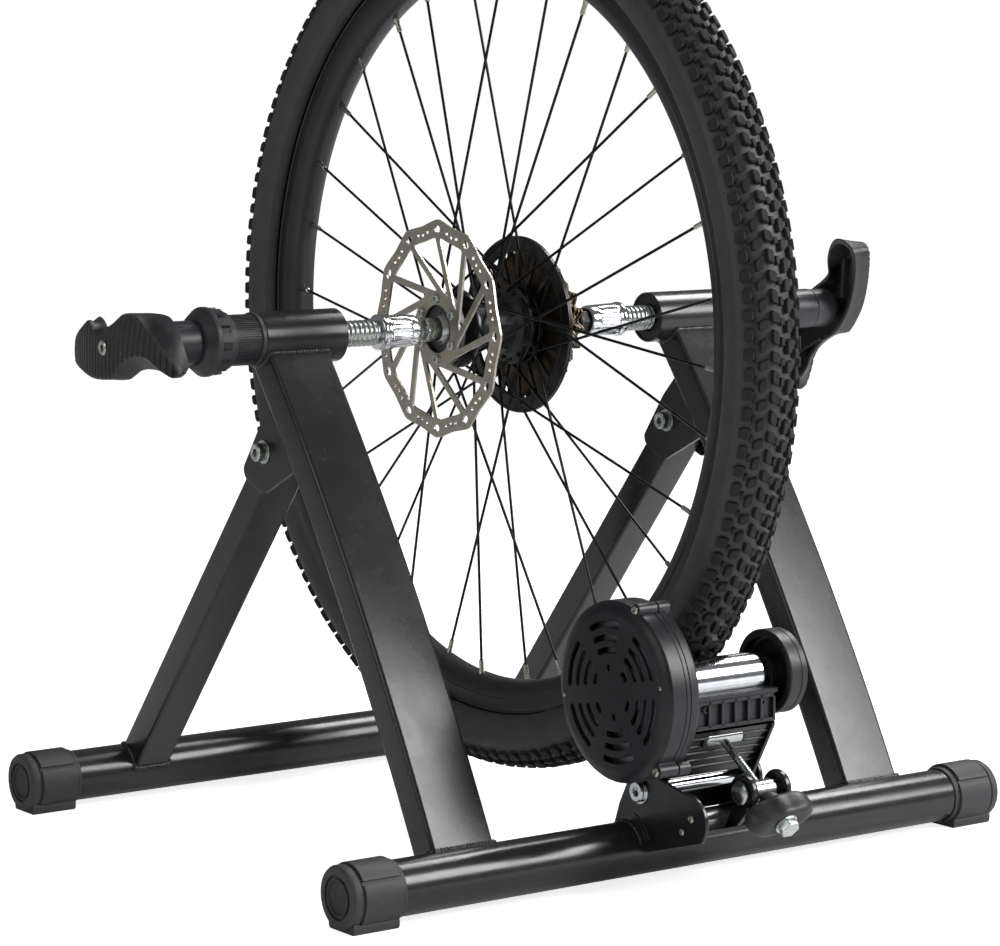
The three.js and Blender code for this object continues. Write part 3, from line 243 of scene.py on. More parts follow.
def curved(points, steps=6):
    # Catmull-Rom curve through 2-D points
    points = [Vector(p) for p in points]
    last, made = len(points) - 1, []
    for i in range(last):
        a, b, c, d = (points[min(max(i + k, 0), last)] for k in (-1, 0, 1, 2))
        for t in (s / steps for s in range(steps)):
            made.append(0.5 * (2 * b + (c - a) * t + (2 * a - 5 * b + 4 * c - d) * t ** 2
                               + (3 * b - a - 3 * c + d) * t ** 3))
    return made + [points[-1]]


def arcPoints(centre, radius, start, end, steps=12):
    return [polar(radius, start + (end - start) * i / steps, centre) for i in range(steps + 1)]


def ringPoints(radius, count=96, centre=(0, 0)):
    return arcPoints(centre, radius, 0, fullTurn * (1 - 1 / count), count - 1)


def filleted(outline, radius, steps=5):
    # Rounds every corner of an outline
    made = []
    count = len(outline)
    for i in range(count):
        corner = Vector(outline[i])
        before = Vector(outline[i - 1]) - corner
        after = Vector(outline[(i + 1) % count]) - corner
        reach = min(radius, before.length * 0.45, after.length * 0.45)
        start, end = corner + before.normalized() * reach, corner + after.normalized() * reach
        made += [tuple((1 - t) ** 2 * start + 2 * t * (1 - t) * corner + t * t * end)
                 for t in (s / steps for s in range(steps + 1))]
    return made


# A flat plate in the YZ plane, cut to its outlines (the first is the edge, the rest are holes)
def plate(outlines, start, thick, softness=0.4):
    curve = bpy.data.curves.new("plate", "CURVE")
    curve.dimensions = "2D"
    curve.fill_mode = "BOTH"
    curve.extrude = thick / 2 - softness
    curve.bevel_depth = softness
    curve.bevel_resolution = 1
    curve.offset = -softness
    for index, outline in enumerate(outlines):
        area = sum(a[0] * b[1] - b[0] * a[1] for a, b in zip(outline, outline[1:] + outline[:1]))
        ordered = outline if (area > 0) == (index == 0) else outline[::-1]
        spline = curve.splines.new("POLY")
        spline.points.add(len(ordered) - 1)
        for point, (y, z) in zip(spline.points, ordered):
            point.co = (y, z, 0, 1)
        spline.use_cyclic_u = True
    holder = bpy.data.objects.new("plate", curve)
    mesh = bpy.data.meshes.new_from_object(holder)
    points = [Vector((v.co.z + start + thick / 2, v.co.x, v.co.y)) for v in mesh.vertices]
    faces = [list(p.vertices) for p in mesh.polygons]
    bpy.data.objects.remove(holder)
    bpy.data.curves.remove(curve)
    bpy.data.meshes.remove(mesh)
    return points, faces


# A section carried along a path
def swept(section, path, closed=False, sizes=None):
    path = [Vector(p) for p in path]
    count = len(path)
    points, rings = [], []
    side = (path[1] - path[0]).orthogonal().normalized()
    for i, place in enumerate(path):
        ahead = path[(i + 1) % count] if closed else path[min(i + 1, count - 1)]
        behind = path[i - 1] if closed or i else path[0]
        along = (ahead - behind).normalized()
        side = (side - along * side.dot(along)).normalized()
        up = along.cross(side)
        size = sizes[i] if sizes else 1
        rings.append(list(range(len(points), len(points) + len(section))))
        points += [place + side * (u * size) + up * (v * size) for u, v in section]
    ends = [] if closed else [rings[0][::-1], rings[-1]]
    return points, skinned(rings, closed) + ends


def rod(radius, start, end, segments=48, soft=0.4):
    return turned([(start, 0), (start, radius - soft), (start + soft, radius), (end - soft, radius),
                   (end, radius - soft), (end, 0)], segments)


def hexagon(acrossFlats, start, end, soft=0.6):
    corner = acrossFlats / math.sqrt(3)
    return plate([filleted(ringPoints(corner, 6), 0.5, 2)], start, end - start, soft)


def applied(obj, name):
    # the mesh as its modifiers leave it
    evaluated = obj.evaluated_get(bpy.context.evaluated_depsgraph_get())
    before, obj.data = obj.data, bpy.data.meshes.new_from_object(evaluated)
    obj.modifiers.clear()
    bpy.data.meshes.remove(before)
    obj.data.name = name


def piece(name, shape, material, body, nodes=(), angle=35):
    mesh = bpy.data.meshes.new(name)
    mesh.from_pydata([Vector(p) * mm + drawnFrom for p in shape[0]], [], shape[1])
    mesh.materials.append(material)
    mesh.validate()
    obj = bpy.data.objects.new(name, mesh)
    bpy.context.collection.objects.link(obj)
    obj.modifiers.new("weldPoints", "WELD").merge_threshold = 0.02 * mm
    applied(obj, name)
    obj.data.shade_smooth()
    obj.data.set_sharp_from_angle(angle=math.radians(angle))
    # normals weighted by area keep the flat faces flat beside their rounded edges
    obj.modifiers.new("flatFaces", "WEIGHTED_NORMAL").keep_sharp = True
    applied(obj, name)
    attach(obj, body)
    if nodes:
        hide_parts(*([nodes] if isinstance(nodes, str) else nodes))
    return obj


def onAxle(shape):
    return moved(shape, 0, 0, axleHeight)


# Six corners of a round band: from its bore out, round two soft edges and back
def pipe(radius, wall, start, end, segments=96, soft=0.4):
    bore = radius - wall
    return turned([(start, bore), (start, radius - soft), (start + soft, radius), (end - soft, radius),
                   (end, radius - soft), (end, bore)], segments, closed=True)


# A washer: one soft edge, on the side it starts from
def washer(start, end, bore, radius, soft=0.3):
    return turned([(start, bore), (start, radius - soft), (start + soft, radius), (end, radius),
                   (end, bore)], 48, closed=True)


# Stand: base tubes, bowed rear legs, straight front legs
stand = {"tubeRadius": 19, "tubeWall": 2, "spread": 220, "legApart": 181, "legWidth": 50,
         "legThick": 25, "bow": 10, "frontWidth": 30, "pivotHeight": 288, "cornerRound": 3, "sunk": 11,
         "screwRoom": 11, "beadRadius": 2.0}
rearAxis = (-stand["spread"], tubeHeight)
frontAxis = (stand["spread"], tubeHeight)
legFoot = Vector((-stand["spread"] + 9, tubeHeight))
legHead = Vector((6, axleHeight))
footCorner = legFoot + Vector((5, 12))  # near where the leg meets each tube
headCorner = legHead - Vector((12, 16))
legChord = legHead - legFoot
legRadius = (legChord.length ** 2 / 4 + stand["bow"] ** 2) / (2 * stand["bow"])
legForward = Vector((legChord.y, -legChord.x)).normalized()
legCentre = (legFoot + legHead) / 2 + legForward * (legRadius - stand["bow"])
halfThick = stand["legThick"] / 2
# places across a leg's thickness, closer together towards its corners
weldOffsets = [halfThick * math.sin(math.pi / 2 * k / 6) for k in range(-6, 7)]


def legArc(offset, steps=24):
    # offset is forward of the middle of the leg; both ends run on a little way into the tubes
    start, end = (math.atan2(spot.y - legCentre.y, spot.x - legCentre.x) % fullTurn
                  for spot in (legFoot, legHead))
    inset = stand["sunk"] / legRadius
    return arcPoints(legCentre, legRadius - offset, start - inset, end + inset, steps)


def legMeets(axis, radius, offset, near):
    # where a line of the bowed leg crosses a circle about a tube's axis
    a, b = Vector(axis), Vector(legCentre)
    gap = b - a
    along = (radius ** 2 - (legRadius - offset) ** 2 + gap.length ** 2) / (2 * gap.length)
    high = math.sqrt(max(radius ** 2 - along ** 2, 0))
    unit = gap.normalized()
    spots = [a + unit * along + Vector((-unit.y, unit.x)) * s * high for s in (-1, 1)]
    return min(spots, key=lambda spot: (spot - near).length)


# Weld run: a bead along a closed path, rippled as the torch moves on
weld = {"step": 0.8, "ripple": 2.6, "rippleShare": 0.13, "wander": 0.05, "sides": 8, "set": 0.3}


def weldBead(path, radius, seed):
    points = [Vector(p) for p in path]
    lengths = [(points[(i + 1) % len(points)] - p).length for i, p in enumerate(points)]
    fine = []
    for p, q, length in zip(points, points[1:] + points[:1], lengths):
        steps = max(1, round(length / weld["step"]))
        fine += [p.lerp(q, s / steps) for s in range(steps)]
    wander = random.Random(seed)
    sizes = [1 + weld["rippleShare"] * math.sin(fullTurn * i * weld["step"] / weld["ripple"])
             + wander.uniform(-weld["wander"], weld["wander"]) for i in range(len(fine))]
    return swept(ringPoints(radius, weld["sides"]), fine, closed=True, sizes=sizes)


def rearWeldPath(axis, near, sign):
    # where the bowed leg's four faces meet a round tube
    across, centre = stand["legWidth"] / 2 - weld["set"], sign * stand["legApart"]
    meet = [legMeets(axis, stand["tubeRadius"], n, near) for n in weldOffsets]
    return [(x, *spot) for x, line in ((centre + across, meet), (centre - across, meet[::-1]))
            for spot in line]


def copedLeg():
    # the upper end is hollowed, to leave room for the clamp screw that runs through the tube
    top = [legMeets((0, axleHeight), stand["screwRoom"], halfThick * (1 - k / 10), headCorner)
           for k in range(21)]
    front = [p for p in legArc(halfThick) if p[1] < top[0].y - 1]
    back = [p for p in legArc(-halfThick) if p[1] < top[-1].y - 1]
    return front + top + back[::-1]


for name, axis, body in (("rear_base_tube", rearAxis, "stand"),
                         ("front_base_tube", frontAxis, "front_frame")):
    low, high = nodeSpan(name)
    shape = moved(pipe(stand["tubeRadius"], stand["tubeWall"], low.x, high.x), 0, *axis)
    piece(name.replace("_base", "") + "_coated", shape, powderCoat, body, name)

for side, sign in sides.items():
    shape = plate([copedLeg()], sign * stand["legApart"] - stand["legWidth"] / 2, stand["legWidth"],
                  stand["cornerRound"])
    piece("rear_leg_tube_" + side, shape, legCoatPaintedSheen, "stand", "rear_leg_" + side, angle=50)
    foot = weldBead(rearWeldPath(rearAxis, footCorner, sign), stand["beadRadius"], 3)
    head = weldBead(rearWeldPath((0, axleHeight), headCorner, sign), stand["beadRadius"], 5)
    piece("rear_leg_welds_" + side, joined(foot, head), weldCoat, "stand", angle=60)

# Front legs lean from the pivot down to the front base tube
pivotPoint = Vector((0, stand["pivotHeight"]))
frontReach = Vector(frontAxis) - pivotPoint
frontAngle = math.atan2(frontReach.x, -frontReach.y)
for side, sign in sides.items():

    def onFrontLeg(shape):
        return moved(shape, sign * stand["legApart"], *pivotPoint, turn=frontAngle)

    low = stand["sunk"] - frontReach.length
    outline = [(-halfThick, low), (halfThick, low)] + arcPoints((0, 0), halfThick, 0, math.pi, 16)
    shape = plate([outline], -stand["frontWidth"] / 2, stand["frontWidth"], stand["cornerRound"])
    piece("front_leg_tube_" + side, onFrontLeg(shape), powderCoat, "front_frame", "front_leg_" + side,
          angle=50)
    across = stand["frontWidth"] / 2 - weld["set"]
    path = [(edge, n, math.sqrt(stand["tubeRadius"] ** 2 - n ** 2) - frontReach.length)
            for edge, ordered in ((across, weldOffsets), (-across, weldOffsets[::-1])) for n in ordered]
    bead = weldBead(onFrontLeg((path, []))[0], stand["beadRadius"], 8)
    piece("front_leg_weld_" + side, bead, weldCoat, "front_frame", angle=60)
print("stand ready")

# Fold brackets: folded channel, two cheeks and a back, with socket bolt and lock nut
bracket = {"halfWidth": 20, "sheet": 3.5, "bolt": 6.5, "boltHigh": 6.6, "shank": 3.9, "hole": 4.3,
           "washer": 8.5, "nutFlats": 12, "nutHigh": 6.8, "back": (262, 318), "welds": (268, 316),
           "cheek": [(-52, -4), (-15.5, 40), (5, 19.2), (29, -14), (26.4, -20.8), (3, -31)]}


def socketBolt(radius, high, start, socket=3.0, deep=4):
    # head faces towards -X; start is the seat
    face = start - high
    rim = [(start, 0), (start, radius - 0.2), (start - 0.3, radius), (face + 0.8, radius),
           (face, radius - 0.8), (face, socket * 1.12), (face + 0.4, socket), (face + deep, socket),
           (face + deep, 0)]
    head = turned(rim[::-1], 48)
    for i, p in enumerate(head[0]):
        # the socket's own points are drawn out to a hexagon
        if 0 < math.hypot(p.y, p.z) < socket * 1.05:
            a = math.atan2(p.z, p.y)
            reach = socket * math.cos(math.pi / 6) / math.cos((a % (math.pi / 3)) - math.pi / 6)
            head[0][i] = Vector((p.x, *polar(reach, a)))
    return head


def lockNut(flats, start, high):
    base = hexagon(flats, start, start + high * 0.75)
    crown = turned([(start + high * 0.7, 0), (start + high * 0.7, flats * 0.47),
                    (start + high * 0.9, flats * 0.45), (start + high, flats * 0.36),
                    (start + high, flats * 0.25), (start + high * 0.85, 0)], 40)
    return joined(base, crown)


for side, sign in sides.items():

    def onPivot(shape):
        return moved(shape, sign * stand["legApart"], *pivotPoint)

    def legRun(offset, steps, heights):
        return [(y, z - stand["pivotHeight"]) for y, z in legArc(offset, steps)
                if heights[0] < z < heights[1]]

    half, sheet = bracket["halfWidth"], bracket["sheet"]
    cheekCuts = [filleted(bracket["cheek"], 3), ringPoints(bracket["hole"], 32)]
    parts = [plate(cheekCuts, start, sheet, 0.5) for start in (-half, half - sheet)]
    backFront, backRear = (legRun(offset, 40, bracket["back"])
                           for offset in (halfThick + sheet, halfThick - 1))
    back = plate([backFront + backRear[::-1]], -half + 1, 2 * half - 2, 0.4)
    piece("fold_channel_" + side, onPivot(joined(*parts, back)), legCoatPaintedSheen, "stand",
          "fold_bracket_" + side)
    runs = []
    for x in (half, -half):  # short welds where the cheeks meet the leg
        line = [(x, *p) for p in legRun(halfThick, 60, bracket["welds"])]
        returned = [Vector(p) + Vector((0.2, 0.4, -0.2)) for p in line[::-1]]
        runs.append(weldBead(onPivot((line + returned, []))[0], 1.3, 4))
    piece("fold_channel_welds_" + side, joined(*runs), weldCoat, "stand", angle=60)
    bolt = joined(socketBolt(bracket["bolt"], bracket["boltHigh"], -half - 1.3),
                  washer(-half - 1.3, -half - 0.1, 4, bracket["washer"]),
                  rod(bracket["shank"], -half, half + 7, 32))
    piece("pivot_bolt_socket_" + side, onPivot(bolt), zincPlate, "stand", "pivot_bolt_" + side)
    nut = lockNut(bracket["nutFlats"], half + 0.2, bracket["nutHigh"])
    piece("pivot_lock_nut_" + side, onPivot(nut), zincPlate, "stand", "pivot_nut_" + side)
print("fold brackets ready")

# Foot caps: moulded rubber with a ringed end disc, a slim band, a thick band and a flat pad
cap = {"radius": 21.5, "long": 42, "ringOuter": 15, "ringInner": 12.4, "bore": 19.15, "padHalf": 14,
       "padLong": 36,
       # raised bands: height above the cap, from and to (radians), steps, place, length, softness
       "bands": [(1.1, 0.55, 2.5, 28, 8.6, 28.6, 0.5), (0.8, 2.62, 4.1, 24, 8.6, 29.6, 0.4),
                 (0.5, -0.95, 0.42, 24, 9.4, 28, 0.4)]}


def footCap():
    r, long, ringIn, ringOut = cap["radius"], cap["long"], cap["ringInner"], cap["ringOuter"]
    body = turned([(1.2, 0), (1.2, ringIn - 1.4), (0, ringIn - 0.6), (0, ringIn), (1.3, ringIn + 0.3),
                   (1.3, ringOut - 0.3), (0, ringOut), (0, r - 2.4), (0.6, r - 0.9), (2.2, r), (6.4, r),
                   (7.0, r - 0.8), (7.6, r - 0.8), (8.2, r - 0.3), (long - 4.2, r - 0.3),
                   (long - 3.6, r - 1.0), (long - 0.8, r - 1.0), (long, r - 1.6),
                   (long, cap["bore"] + 0.15), (long - 3, cap["bore"]), (8, cap["bore"]), (8, 0)], 96)
    bands = [plate([arcPoints((0, 0), r + rise, start, end, steps)
                    + arcPoints((0, 0), r - 2, end, start, steps)],
                   place, bandLong, soft)
             for rise, start, end, steps, place, bandLong, soft in cap["bands"]]
    half = cap["padHalf"]
    pad = [(-half - 1, -tubeHeight), (half + 1, -tubeHeight), (half + 1.6, -tubeHeight + 6),
           (half - 1, -12), (-half + 1, -12), (-half - 1.6, -tubeHeight + 6)]
    return joined(body, *bands, plate([filleted(pad, 2.5)], 3, cap["padLong"], 0.8))


for end, y in (("rear", -stand["spread"]), ("front", stand["spread"])):
    for side, sign in sides.items():
        name = end + "_" + side
        low, high = nodeSpan("foot_cap_" + name)
        shape, x = (footCap(), low.x) if sign < 0 else (mirrored(footCap()), high.x)
        piece("foot_cap_rubber_" + name, moved(shape, x, y, tubeHeight), footRubber, "foot_" + name,
              "foot_cap_" + name, angle=40)
print("feet ready")

# Axle clamps, drawn for the left side and turned half round for the right
clamp = {"inner": 141, "outer": 208, "screw": 9.6, "root": 8.5, "pitch": 4, "sleeve": 15.5,
         "sleeveLong": 78, "cup": 33, "bore": 15.7, "knobTurn": {"left": 0, "right": 0.96}}
halfRound = Matrix.Rotation(math.pi, 3, "Z")


def threadedRod(start, end, root, crest, pitch, segments=36):
    # a true helix: the radius at each place depends on how far round it is
    steps = round((end - start) / pitch * 10)
    points, rings = [], []
    for i in range(steps + 1):
        x = start + (end - start) * i / steps
        fade = min(1, (x - start) / pitch, (end - x) / pitch)
        rings.append([len(points) + k for k in range(segments)])
        for k in range(segments):
            phase = (x / pitch + k / segments) % 1
            rise = min(1, max(0, 2.6 * (0.5 - abs(phase - 0.5)) - 0.1))
            radius = root + (crest - root) * rise * fade
            points.append(Vector((x, *polar(radius, fullTurn * k / segments))))
    return points, skinned(rings)


def fluted(profile, flutes, depth, first, last, segments=240):
    points, faces = turned(profile, segments)
    for i, p in enumerate(points):
        r = math.hypot(p.y, p.z)
        if first < p.x < last and r > clamp["screw"]:
            ease = min(1, (p.x - first) / 3, (last - p.x) / 3)
            wave = (0.5 + 0.5 * math.cos(flutes * math.atan2(p.z, p.y))) ** 2 * depth * ease
            points[i] = Vector((p.x, p.y * (r - wave) / r, p.z * (r - wave) / r))
    return points, faces


def knurled(radius, low, teeth, start, long, soft=0.3, share=0.5):
    step = fullTurn / teeth
    outline = [polar(r, step * (i + place)) for i in range(teeth)
               for r, place in ((low, 0), (low, share), (radius, share + 0.06), (radius, 0.94))]
    return plate([outline, ringPoints(clamp["bore"], 64)], start, long, soft)


# Wing knob: ribbed crowned face, smooth walls swept out to the back, hollow behind
knob = {"deep": 36, "crown": 162, "wallDeep": 17, "wall": 3, "ribPitch": 5, "ribDeep": 1.9,
        "columns": 420,
        "faceTop": [(-72, -14.2), (-71.2, -11.8), (-63.7, -2.9), (-55.3, 6.3), (-45.6, 15.4),
                    (-38.5, 22.2), (-33.5, 24), (-22, 22.3), (-12.5, 17.4), (-6.5, 14.4), (-2.8, 12.4),
                    (3, 9.8), (8.2, 8.7), (14, 8.9), (18.4, 10.4), (21, 13.6), (23.4, 16.4), (27, 17),
                    (38.5, 12.6), (57, 5.2), (66, -1), (69.4, -8)],
        "faceLow": [(-72, -14.2), (-70, -16.4), (-64.8, -16.4), (-52.8, -9.4), (-48.3, -6.2),
                    (-39.5, -4.2), (-28.9, -6.6), (-19, -11.9), (-12, -18.6), (-6, -21.6),
                    (17.2, -22.4), (42.4, -18.9), (63.5, -15.2), (68, -12.2), (69.4, -8)],
        "backTop": [(-65, -9), (-62.6, -1.4), (-58.6, 9.2), (-53, 19.6), (-47, 23.6), (-34.7, 24.6),
                    (-20.7, 24), (-5, 23), (3, 21), (14, 15.6), (22, 12.4), (27, 11.8), (31, 14.4),
                    (36, 16.9), (43, 17.8), (51, 16.6), (59, 12), (65, 4), (68, -7)],
        "backLow": [(-65, -9), (-63.8, -12.4), (-60, -16.8), (-55.4, -18.2), (-47.9, -17.4),
                    (-39.9, -14.4), (-30, -13.8), (-21.7, -15.3), (-14, -19.4), (-5, -22.6),
                    (17, -23.8), (42, -20.6), (60, -16.8), (66.2, -12.8), (68, -7)]}
knobCurves = {name: curved([Vector(p) for p in knob[name]], 10)
              for name in ("faceTop", "faceLow", "backTop", "backLow")}


def heightOn(curve, y):
    for a, b in zip(curve, curve[1:]):
        if a.x <= y <= b.x:
            return a.y + (b.y - a.y) * (y - a.x) / max(b.x - a.x, 1e-9)
    return curve[-1].y if y > curve[-1].x else curve[0].y


def knobEdge(end, share, level, inset=0):
    # share runs -1 to 1 along the wings, level -1 to 1 from the lower edge to the upper one
    top, low = knobCurves[end + "Top"], knobCurves[end + "Low"]
    middle, reach = (top[0].x + top[-1].x) / 2, (top[-1].x - top[0].x) / 2
    y = middle + reach * share
    high, deep = heightOn(top, y), heightOn(low, y)
    halfHigh = max(0, (high - deep) / 2 - inset)
    return middle + (reach - inset) * share, (high + deep) / 2 + halfHigh * level


def wingKnob(back):
    # back is where the boss meets the sleeve; the knob reaches out to -X from there
    face = back - knob["deep"]
    columns, rows = knob["columns"], 22

    def facePlace(y):
        return face + knob["crown"] - math.sqrt(knob["crown"] ** 2 - y ** 2)

    points, faces, grid = [], [], []
    shares = [-math.cos(math.pi * i / columns) for i in range(columns + 1)]
    for share in shares:
        grid.append([len(points) + j for j in range(rows + 1)])
        for j in range(rows + 1):
            level = -math.cos(math.pi * j / rows)
            y, z = knobEdge("face", share, level)
            turn = fullTurn * (y + 0.10 * z + 0.004 * z * z) / knob["ribPitch"]
            groove = max(0, math.sin(turn)) ** 2.2 * knob["ribDeep"]
            shelter = min(1, (1 - abs(level)) * 8) * min(1, (1 - abs(share)) * 25)
            lipRound = (1 - min(1, (1 - abs(level)) * 9)) ** 2 * 1.3
            inBoss = math.hypot(y, z) < 6.8
            points.append(Vector((facePlace(y) + lipRound + (0 if inBoss else groove * shelter), y, z)))
    for a, b in zip(grid, grid[1:]):
        faces += [[a[j], a[j + 1], b[j + 1], b[j]] for j in range(rows)]
    lips = [(share, 1) for share in shares] + [(share, -1) for share in shares[-2:0:-1]]
    loop = [column[rows] for column in grid] + [column[0] for column in grid[-2:0:-1]]
    # the wall flares to the back edge, turns in by the wall's thickness and comes forward inside
    for end, inset, depth in (("face", 0, 2.6), ("both", 0, 9), ("back", 0, knob["wallDeep"] - 0.8),
                              ("back", 0.7, knob["wallDeep"]), ("back", knob["wall"], knob["wallDeep"]),
                              ("face", knob["wall"], 6.5), ("face", None, 6.5)):
        ring = [len(points) + k for k in range(len(lips))]
        for share, level in lips:
            if end == "both":
                near, far = (knobEdge(name, share, level) for name in ("face", "back"))
                y, z = (near[0] + far[0]) / 2, near[1] * 0.56 + far[1] * 0.44
            else:
                y, z = knobEdge(end, share, *((0,) if inset is None else (level, inset)))
            points.append(Vector((facePlace(y) + depth, y, z)))
        count = len(ring)
        faces += [[loop[k], ring[k], ring[(k + 1) % count], loop[(k + 1) % count]]
                  for k in range(count)]
        loop = ring
    boss = turned([(face + 5, 0), (face + 5, 6.4), (face + 16, 6.4), (face + 17, 14.4), (face + 18, 15),
                   (back - 0.6, 15), (back, 14.4), (back, 0)], 64)
    web = plate([[(-15, -1.2), (15, -1.2), (15, 1.2), (-15, 1.2)]], face + 14.5, 6, 0.4)
    return joined((points, faces), boss, moved(web, 0, 34, -6, 0.5), moved(web, 0, -34, -6, -0.5))


for side, sign in sides.items():
    facing = Matrix.Identity(3) if sign < 0 else halfRound

    def place(shape):
        return onAxle(transformed(shape, facing))

    def leftEnds(node):
        # the node's outer and inner end, as if it stood on the left
        low, high = nodeSpan(node + side)
        return (low.x, high.x) if sign < 0 else (-high.x, -low.x)

    inner, outer = -clamp["inner"], -clamp["outer"]
    tube = turned([(outer, 17), (outer, 18.6), (outer + 0.4, 19), (inner - 0.5, 19), (inner, 18.5),
                   (inner, 17.4), (inner - 1.2, 16.9), (inner - 1.2, 11.2), (inner - 2, 10.3),
                   (inner - 12, 10.3), (inner - 12, 17)], 96, closed=True)
    piece("clamp_barrel_" + side, place(tube), powderCoat, "stand", "clamp_tube_" + side)
    collar = joined(knurled(18, 17.3, 64, -231.5, 20, 0.2), pipe(19, 3.2, -211.6, -208.3),
                    pipe(18.4, 2.6, -233.3, -231.2))
    piece("ribbed_collar_moulded_" + side, place(collar), mouldedNylon, "stand",
          "ribbed_collar_" + side)
    cone = turned([(-257.6, 15.8), (-257.6, 18.4), (-257.0, 19.4), (-251.4, 23.9), (-250.6, 24.4),
                   (-247.4, 24.4), (-246.8, 23.8), (-246.8, 15.8)], 96, closed=True)
    ring = joined(cone, knurled(23.6, 20.6, 12, -247, 8.6, 0.7, 0.36), pipe(20.6, 4.7, -238.5, -233.6))
    piece("notched_lock_ring_" + side, place(ring), mouldedNylon, "ring_" + side, "lock_ring_" + side)
    start, radius = leftEnds("spindle_sleeve_")[0], clamp["sleeve"]
    end = start + clamp["sleeveLong"]
    sleeve = turned([(start, 3.3), (start, radius - 0.6), (start + 0.6, radius), (end - 0.5, radius),
                     (end, radius - 0.5), (end, 8.9), (start + 8, 8.9), (start + 8, 3.3)], 96,
                    closed=True)
    seam = plate([[(14.9, -0.9), (15.75, -0.9), (15.75, 0.9), (14.9, 0.9)]], start + 3, 34, 0.15)
    seams = [transformed(seam, Matrix.Rotation(a, 3, "X")) for a in (0.9, 2.2)]
    piece("sleeve_moulded_" + side, place(joined(sleeve, *seams)), mouldedAbs, "knob_" + side,
          "spindle_sleeve_" + side)
    mouth = leftEnds("axle_cup_")[1]
    rear = mouth - clamp["cup"]
    spindle = joined(threadedRod(inner - 26, rear - 0.3, clamp["root"], clamp["screw"], clamp["pitch"]),
                     rod(clamp["root"], -262, inner - 24), rod(5, rear - 1, rear + 11))
    piece("threaded_spindle_" + side, place(spindle), zincPlate, "knob_" + side, "clamp_screw_" + side,
          angle=50)
    cup = [(rear, 0), (rear, 11.6), (rear + 1.2, 12.9), (rear + 3.4, 12.9), (rear + 4.4, 12.2),
           (rear + 6.4, 12.0), (rear + 7.4, 12.3), (rear + 9, 12.4), (mouth - 10, 11.9),
           (mouth - 8, 11.8), (mouth - 7, 11.2), (mouth - 5.6, 11.6), (mouth - 1.5, 11.2),
           (mouth - 0.3, 10.6), (mouth, 9.9), (mouth, 9.5), (mouth - 14, 9.5), (mouth - 14, 0)]
    piece("axle_cup_plated_" + side, place(fluted(cup, 8, 1.3, rear + 7, mouth - 7.4)), chromePlate,
          "cup_" + side, "axle_cup_" + side, angle=65)
    back = start - 0.3
    wings = transformed(wingKnob(back), Matrix.Rotation(clamp["knobTurn"][side], 3, "X"))
    piece("wing_knob_moulded_" + side, place(wings), mouldedNylon, "knob_" + side, "wing_knob_" + side,
          angle=38)
    face = back - knob["deep"]
    screwHead = joined(socketBolt(5.2, 1.9, face + 0.6, 2.4, 2.2), rod(2.9, face + 0.5, start + 7, 24))
    piece("knob_cap_screw_" + side, place(screwHead), nickel, "knob_" + side, "knob_screw_" + side)
print("axle clamps ready")

# Wheel: tyre with moulded knobs, anodised rim, laced spokes
wheel = {"radius": 328, "casing": 323.8, "crown": 27.5, "knobs": 152, "rimInner": 262, "nippleLong": 11,
         "nipple": 2.1, "spokes": 32, "spokeRadius": 1.05, "firstAngle": 3.4, "crossings": 3,
         "hubRing": 25, "flangeLeft": -34, "flangeRight": 13,
         # tread rows: place across, half size across and round, share of the pitch it starts at, lean
         "treadRows": [(-20.2, 3.4, 3.9, 0.0, 0.10), (-12.6, 2.9, 3.4, 0.5, 0.45),
                       (-5.2, 2.7, 3.9, 0.12, -0.4), (5.2, 2.7, 3.9, 0.62, 0.4),
                       (12.6, 2.9, 3.4, 0.0, -0.45), (20.2, 3.4, 3.9, 0.5, -0.10),
                       (0, 1.7, 2.6, 0.36, 0), (-16.6, 1.3, 2.2, 0.26, 0.2),
                       (16.6, 1.3, 2.2, 0.76, -0.2)]}


def treadHeight(x):
    # radius of the casing's round crown at a place across
    return wheel["casing"] - wheel["crown"] + math.sqrt(max(wheel["crown"] ** 2 - x ** 2, 0))


def treadKnob(x, halfAcross, halfRound, high, angle, lean):
    slope = math.asin(x / wheel["crown"])
    outward = Vector((math.sin(slope), 0, math.cos(slope)))
    across = Vector((math.cos(slope), 0, -math.sin(slope)))
    centre = Vector((x, 0, treadHeight(x)))
    points = []
    for level, grow in ((-1.0, 1.12), (high * 0.86, 1.0), (high, 0.86)):
        for u, v in ((-1, -0.7), (-0.6, -1), (0.6, -1), (1, -0.7),
                     (1, 0.7), (0.6, 1), (-0.6, 1), (-1, 0.7)):
            place = across * (u * halfAcross * grow)
            place += Vector((0, v * halfRound * grow + u * lean * halfAcross, 0))
            points.append(centre + place + outward * level)
    rings = [[start + k for k in range(8)] for start in (0, 8, 16)]
    return transformed((points, skinned(rings) + [rings[2]]), Matrix.Rotation(angle, 3, "X"))


def leftHalf(profile):
    return [(-x, r) for x, r in profile[::-1]]


def tyreShape():
    outer = [(x, treadHeight(x)) for x in (0, 4, 8, 12, 16, 19, 22)]
    outer += [(24.1, 309.5), (24.5, 308.6), (25.0, 307.2), (25.0, 303), (24.2, 297.5), (22.6, 292.6),
              (20.6, 289.4), (20.1, 289.1), (19.0, 288.3), (17.2, 287.0), (15.2, 286.3), (13.4, 286.2)]
    inner = [(12.6, 287.2), (19, 291.5), (22.4, 300), (21, 312), (10, 319.5), (0, 321)]
    return turned(leftHalf(outer) + outer[1:] + inner[:-1] + leftHalf(inner), 288, closed=True)


